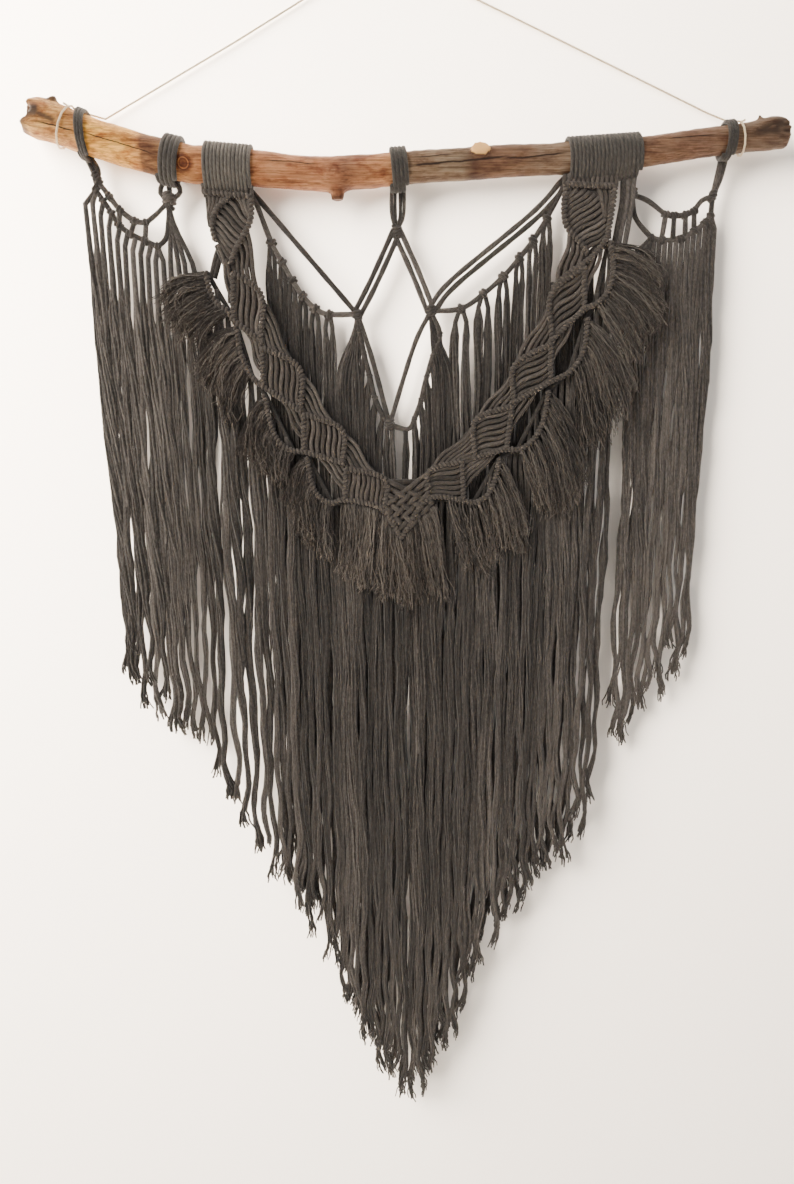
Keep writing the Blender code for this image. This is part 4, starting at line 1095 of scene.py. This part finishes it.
def make_curtain(node, side, first, last):
    """The long fringe that hangs behind the band's lower bars."""
    inner_low = CELLS[side][-1][2]
    line = sorted([inner_low] + [end for scallop in SCALLOPS[side] for end in (scallop[0], scallop[-1])])
    roots = evenly(flat(line, BAND_Y + 6.4), 5)
    strands = []
    fall = first + FRINGE_PITCH / 2
    while fall < last:
        root = min(max(fall, line[0][0]), line[-1][0])
        # the far left hangs further apart, in thicker strands that twist together lower down
        far = ramp(-125 - fall, 30)
        strands.append(strand(root, along(line, root, 1), fall + rng.uniform(-1.8, 1.8),
                              CURTAIN_Y + rng.uniform(-2.2, 2.0), STRAND_WIDTH + 1.6 * far,
                              twisted=240 + 80 * far))
        fall += FRINGE_PITCH * (1 + 0.6 * far)
    piece = one_object(node + "_fringe", [tube_mesh([(roots, 2.6, 0.3)], 8)] + combed(strands))
    place(piece, fringe_finish, "charcoal_cotton", node)


def netted(node, cords, strands):
    """Finish a piece of knotted cords with the strands that hang from them."""
    piece = one_object(node + "_cords", [tube_mesh(cords, 8)] + combed(strands))
    place(piece, fringe_finish, "charcoal_cotton", node)


def direction(row, number):
    """Where a row of knots heads at one of them."""
    before = row[max(0, number - 1)]
    after = row[min(len(row) - 1, number + 1)]
    return after[0] - before[0], after[1] - before[1]


def make_web():
    """The open net between the bands, with the strands that hang from its knots."""
    left_start = (-136, -231)
    right_start = (196, -220)
    routes = [
        [left_start] + WEB_LEFT_KNOTS + [KNOT_LEFT], [KNOT_RIGHT] + WEB_RIGHT_KNOTS + [right_start],
        [left_start, KNOT_LEFT],
        [KNOT_LEFT, (-10, -402), KNOT_LOW], [KNOT_RIGHT, (36, -388), KNOT_LOW],
        [KNOT_LEFT] + WEB_EDGE_LEFT + [KNOT_LOW], [KNOT_RIGHT] + WEB_EDGE_RIGHT + [(30, -478), KNOT_LOW],
    ]
    # these run in pairs
    for route in ([KNOT_RIGHT, (79, -322), (163, -255), right_start],
                  [KNOT_TOP, (-8, -322), KNOT_LEFT], [KNOT_TOP, (37, -312), KNOT_RIGHT]):
        routes += [outside(route, side, NET_CORD * 1.3) for side in ("left", "right")]
    cords = [cord(route, WEB_Y) for route in routes]
    cords += [cord([(x, -222), (x, -254), KNOT_TOP], WEB_Y, WEB_TOP_CORD) for x in WEB_TOP_CORDS]
    for x, z in (KNOT_LEFT, KNOT_RIGHT, KNOT_TOP, KNOT_LOW):
        cords += knot(x, z, WEB_Y, (0, 1), *GATHERING_KNOT)
    strands = []
    for row in (WEB_LEFT_KNOTS, WEB_RIGHT_KNOTS):
        for number, (x, z) in enumerate(row):
            cords += knot(x, z, WEB_Y, direction(row, number), *NET_KNOT)
            # two strands hang from each knot, and half is how far each is from the middle
            other = row[number + 1] if number + 1 < len(row) else row[number - 1]
            half = abs(other[0] - x) / 4
            width = max(3.5, half * 0.85)
            for turn in (-1, 1):
                strands.append(strand(x + 1.5 * turn, z, x + half * turn, WEB_Y, width, corded=4, opens=34))
    for (x, z), falls in ((KNOT_LEFT, WEB_FAN_LEFT), (KNOT_RIGHT, WEB_FAN_RIGHT)):
        for fall in falls:
            strands.append(strand(x, z, fall, WEB_Y, 4.0, opens=50, swing=75))
    for row, shift in ((WEB_EDGE_LEFT, -3), (WEB_EDGE_RIGHT, 2)):
        for number, (x, z) in enumerate(row):
            cords += knot(x, z, WEB_Y, direction(row, number), *EDGE_KNOT)
            strands.append(strand(x, z, x + shift, WEB_Y, 4.1, opens=18, swing=30))
    for fall in WEB_HIDDEN_STRANDS:
        # their roots rise towards the right, behind the band
        root = max(-322, -322 + (fall - 214) * 2)
        strands.append(strand(fall - 2, root, fall, WEB_Y))
    for fall in WEB_LOW_STRANDS:
        strands.append(strand(fall, -476, fall, WEB_Y, 4.0, corded=2, opens=24))
    netted("centre_web", cords, strands)


def row_of_knots(points, y):
    """A row of knots, one over each strand, on the cord that carries them."""
    made = [cord(points, y)]
    for number, (x, z) in enumerate(points):
        made += knot(x, z, y, direction(points, number), *SWAG_KNOT)
    return made


def make_left_swag():
    """The two knotted rows between the left ring and the small wrap, with their fringe."""
    top = LEFT_UPPER_ROW[0]
    square = (-224, -240)
    routes = [
        [(-308.5, -199), (-304, -208), top], [(-303.5, -199), (-297, -210), top],
        [(-229, -221), (-233, -232), square], [(-216, -221), (-212, -232), square],
        [(-224, -222), (-223, -232), square],
        [LEFT_UPPER_ROW[-1], (-238, -253), square],
        [LEFT_LOWER_ROW[-1], (-229, -277), (-226, -260), square],
        [LEFT_UPPER_ROW[2], LEFT_LOWER_ROW[3]], [LEFT_UPPER_ROW[3], LEFT_LOWER_ROW[4]],
        [LEFT_UPPER_ROW[4], LEFT_LOWER_ROW[5]], [top, LEFT_LOWER_ROW[0]],
    ]
    cords = [cord(route, WEB_Y) for route in routes]
    cords += [cord(route, WEB_Y - 6) for route in BAND_TIES[:2]]
    cords += knot(top[0], top[1] + 2, WEB_Y, (0.5, -1), *END_KNOT)
    # a thick knot below the small wrap, and a smaller one across it
    cords += knot(square[0], square[1] + 2, WEB_Y, (0, 1), 8.2, 3.0)
    cords += knot(square[0], square[1] - 6, WEB_Y, (1, 0.2), 5.4, 2.0)
    cords += row_of_knots(LEFT_LOWER_ROW, WEB_Y) + row_of_knots(LEFT_UPPER_ROW, WEB_Y)
    strands = []
    for fall in LEFT_SWAG_STRANDS:
        x = min(max(fall + 4, LEFT_LOWER_ROW[0][0]), LEFT_LOWER_ROW[-1][0])
        # the outermost ones drift towards the others on their way down
        drift = 22 if fall < -308 else 10 if fall < -300 else 0
        strands.append(strand(x, along(LEFT_LOWER_ROW, x, 1), fall, WEB_Y, 5.0, yarns=8, corded=25, opens=90,
                              drift=drift, twisted=150))
    for fall in SMALL_WRAP_STRANDS:
        strands.append(strand(square[0], square[1] - 6, fall, WEB_Y, 4.0, corded=70, swing=72))
    netted("left_swag", cords, strands)


def make_right_swag():
    """The two knotted rows between the right wide wrap and the right ring, with their fringe."""
    square = (266, -234)
    join = (351, -236)
    routes = [
        [(263, -212), square], [(268, -212), square],
        [(358, -192), (355, -215), join], [(363, -192), (359, -215), join],
        [square, (283, -240), RIGHT_UPPER_ROW[0]], [RIGHT_UPPER_ROW[-1], (340, -240), join],
        [square, (271, -257), RIGHT_LOWER_ROW[0]], [RIGHT_LOWER_ROW[-1], join],
        [RIGHT_UPPER_ROW[0], RIGHT_LOWER_ROW[1]], [RIGHT_UPPER_ROW[1], (312, -279)],
        [RIGHT_UPPER_ROW[2], (325, -276)], [RIGHT_UPPER_ROW[3], RIGHT_LOWER_ROW[3]],
    ]
    cords = [cord(route, WEB_Y) for route in routes]
    cords += [cord(route, WEB_Y - 9) for route in BAND_TIES[2:]]
    cords += knot(*square, WEB_Y, (0, 1), *GATHERING_KNOT)
    cords += knot(*join, WEB_Y, (0.3, 1), *END_KNOT)
    cords += row_of_knots(RIGHT_LOWER_ROW, WEB_Y) + row_of_knots(RIGHT_UPPER_ROW, WEB_Y)
    strands = []
    for fall in RIGHT_SWAG_STRANDS:
        x = min(max(fall, RIGHT_LOWER_ROW[0][0]), RIGHT_LOWER_ROW[-1][0])
        strands.append(strand(x, along(RIGHT_LOWER_ROW, x, 1), fall, WEB_Y, 3.9, corded=4, opens=40))
    netted("right_swag", cords, strands)


def drooping(root, near, above, tip, share):
    """Points at shares of a curve that leaves its root towards near and comes to its tip from above."""
    t = share[:, None]
    return (1 - t) ** 3 * root + 3 * t * (1 - t) ** 2 * near + 3 * t * t * (1 - t) * above + t ** 3 * tip


def tassel(node, line, side, reach, locks, tone_here):
    """A brushed tuft: locks of crimped fibres that leave a bar square to it, each on its own way, and frizz
    out. Their tips lie along reach."""
    start = outside(line, side, 1.0)
    ahead = outside(line, side, 20.0)
    half = travelled(np.array(start, float))[-1] / locks / 2
    made = []
    t = np.linspace(0, 1, LOCK_POINTS)
    for number in range(locks):
        share = (number + 0.5 + rng.uniform(-0.25, 0.25)) / locks
        root = on_line(start, share)
        along_bar = on_line(start, min(1.0, share + 0.03)) - on_line(start, max(0.0, share - 0.03))
        along_bar /= np.linalg.norm(along_bar)
        near = root + (on_line(ahead, share) - root) * rng.uniform(0.3, 0.7)
        tip = on_line(reach, np.clip(share + rng.uniform(-0.03, 0.03), 0, 1))
        tip = root + (tip - root) * rng.uniform(0.84, 1.08) + rng.uniform(-2.5, 2.5, 2)
        above = tip + np.array([rng.uniform(-7, 7), rng.uniform(9, 24)])
        curl = rng.uniform(1.0, 2.4) * np.sin(t * rng.uniform(4, 8) + rng.uniform(0, 6)) * t
        spread = 1.0 + 1.7 * eased(t * 2.0) + 2.6 * eased((t - 0.6) / 0.4)
        # the locks lie in three layers, and all of them bulge out of the wall
        layer = BAND_Y + 1.0 - (number % 3) * 1.6 - 3.0 * np.sin(t * 2.2)
        lock_tone = rng.normal(tone_here, 0.2)
        # a darker lock behind, which lets no light through, painted darkest as shade
        upper = t[:LOCK_POINTS // 2 + 1]
        behind = drooping(root, near, above, tip, upper * 1.3)
        made.append((flat(behind, BAND_Y + 3.0), 2.3 - 1.8 * upper, 0.0))
        for k in range(LOCK_FIBRES):
            turn = rng.uniform(0, 2 * math.pi)
            # every second fibre is loose, and fills the room between the locks
            far = math.sqrt(rng.uniform(0, 1)) * (0.9 if k % 2 else 2.2)
            foot = along_bar * half * 1.2 * far * math.cos(turn)
            route = drooping(root + foot, near, above, tip, t * rng.uniform(0.84, 1.04))
            crimp = rng.normal(0, 0.65, (2, len(t))) * (eased(t * 3) + 0.8 * t)
            frizz = rng.uniform(0.8, 2.2) * t * np.sin(t * rng.uniform(5, 14) + rng.uniform(0, 6))
            across = curl + frizz + spread * far * np.cos(turn + 1.4 * t) + crimp[0]
            depth = np.maximum(layer + spread * far * np.sin(turn + 1.4 * t), FOREMOST)
            thick = rng.uniform(0.36, 0.6) * (1 - 0.25 * t ** 2)
            # painted shade: the fibres on the side towards the wall are darker; they grow lighter towards
            # their tips
            tone = np.clip(lock_tone - 0.15 * math.sin(turn) + rng.normal(0, 0.36) + 0.15 * t, 0, 1)
            path = np.stack([route[:, 0] + across, depth, route[:, 1] + crimp[1]], axis=1)
            made.append((path, thick, tone))
    # a cord behind the bar, painted dark as shade
    backing = shaded(outside(line, side, 3.0), BAND_Y + 2.5, 2.2, 0.1)
    piece = one_object(node + "_fibres", [tube_mesh([backing], 6), tube_mesh(made, 3)])
    place(piece, tassel_finish, "charcoal_cotton", node)


def make_tassels():
    """A tassel below each scalloped bar, and one below the diamond."""
    for node, side, number, last, reach in TASSELS:
        turn = 1 if side == "left" else -1
        line = [tuple(p) for p in curved(lower_line(side, number), 11) if (last - p[0]) * turn > -3]
        tassel(node, line, side, reach, 24, 0.24 if side == "left" else 0.5)
    tassel("tassel_centre", CENTRE_EDGE, "left", CENTRE_REACH, 30, 0.6)


# ---------------------------------------------------------------- room and light
SHEET = 4.2                 # metres along each side of the wall and the floor
# name, place in metres, width, watts, colour
LAMPS = [
    ("window", (-1.35, -1.35, 0.45), 1.4, 53.0, "#fff7ec"),
    ("fill", (1.9, -1.7, -0.6), 1.8, 8.0, "#eef2ff"),
    ("behind", (0.1, 1.7, -0.2), 2.0, 48.0, "#ffffff"),
    ("wall_light", (-1.5, -0.86, 0.4), 2.0, 670.0, "#fff0e0"),
]


def sheet(name, where, turned, colour):
    """A flat sheet of the room, painted."""
    mesh = bpy.data.meshes.new(name)
    work = bmesh.new()
    bmesh.ops.create_grid(work, x_segments=1, y_segments=1, size=SHEET / 2)
    work.to_mesh(mesh)
    work.free()
    made = bpy.data.objects.new(name, mesh)
    made.location = where
    made.rotation_euler = turned
    bpy.context.scene.collection.objects.link(made)
    mesh.materials.append(plain(name + "_paint", colour))
    return made


def make_room():
    """A warm white wall and a pale floor."""
    wall = sheet("wall", (0.0, 0.0015, -0.55), (math.radians(90), 0, 0), "#f2eee8")
    sheet("floor", (0.0, -2.0, -1.75), (0, 0, 0), "#e9e4dc")
    # seen from behind, the wall is clear, so that the back of the work can be looked at
    tree = wall.data.materials[0].node_tree
    back = add(tree, "NewGeometry")
    clear = add(tree, "BsdfTransparent")
    paint = tree.nodes["Principled BSDF"]
    both = add(tree, "MixShader", {},
               {0: back.outputs["Backfacing"], 1: paint.outputs[0], 2: clear.outputs[0]})
    tree.links.new(both.outputs[0], tree.nodes["Material Output"].inputs["Surface"])
    return wall


def make_lights(wall):
    """Soft daylight from the upper left, a weak fill, light for the white wall alone, and a little light from
    behind the wall, which lets it through, for the back of the work."""
    world = bpy.data.worlds.new("room_light")
    world.use_nodes = True
    background = world.node_tree.nodes["Background"]
    background.inputs["Color"].default_value = linear("#f3f1ee")
    background.inputs["Strength"].default_value = 0.6
    bpy.context.scene.world = world
    target = Vector((0.0, 0.0, -0.6))
    for name, where, size, power, colour in LAMPS:
        data = bpy.data.lights.new(name, "AREA")
        data.shape = "DISK"
        data.size = size
        data.energy = power
        data.color = linear(colour)[:3]
        made = bpy.data.objects.new(name, data)
        made.location = where
        made.rotation_euler = (target - Vector(where)).to_track_quat("-Z", "Y").to_euler()
        bpy.context.scene.collection.objects.link(made)
        if name in ("behind", "wall_light"):
            chosen = bpy.data.collections.new(name + "_wall")
            chosen.objects.link(wall)
            made.light_linking.receiver_collection = chosen
            if name == "behind":
                for entry in chosen.collection_objects:
                    entry.light_linking.link_state = "EXCLUDE"
                made.light_linking.blocker_collection = chosen


# ---------------------------------------------------------------- make it all
wood_finish = driftwood()
cream_finish = twine()
wrap_finish = cotton("cotton_cord_greyed", "#252321", "#403d3a", "#605b55")
band_finish = cotton("cotton_cord_charcoal", "#272320", "#48423d", "#68615b")
fringe_finish = cotton("cotton_combed_charcoal", "#22201e", "#3f3b38", "#67615c")
tassel_finish = cotton("cotton_brushed_charcoal", "#221e1c", "#423c38", "#7c746b")

make_camera()
make_string()
make_branch()
make_wraps()
make_band()
make_web()
make_left_swag()
make_right_swag()
make_curtain("left_curtain", "left", -190, 22)
make_curtain("right_curtain", "right", 24, 258)
make_tassels()
make_lights(make_room())
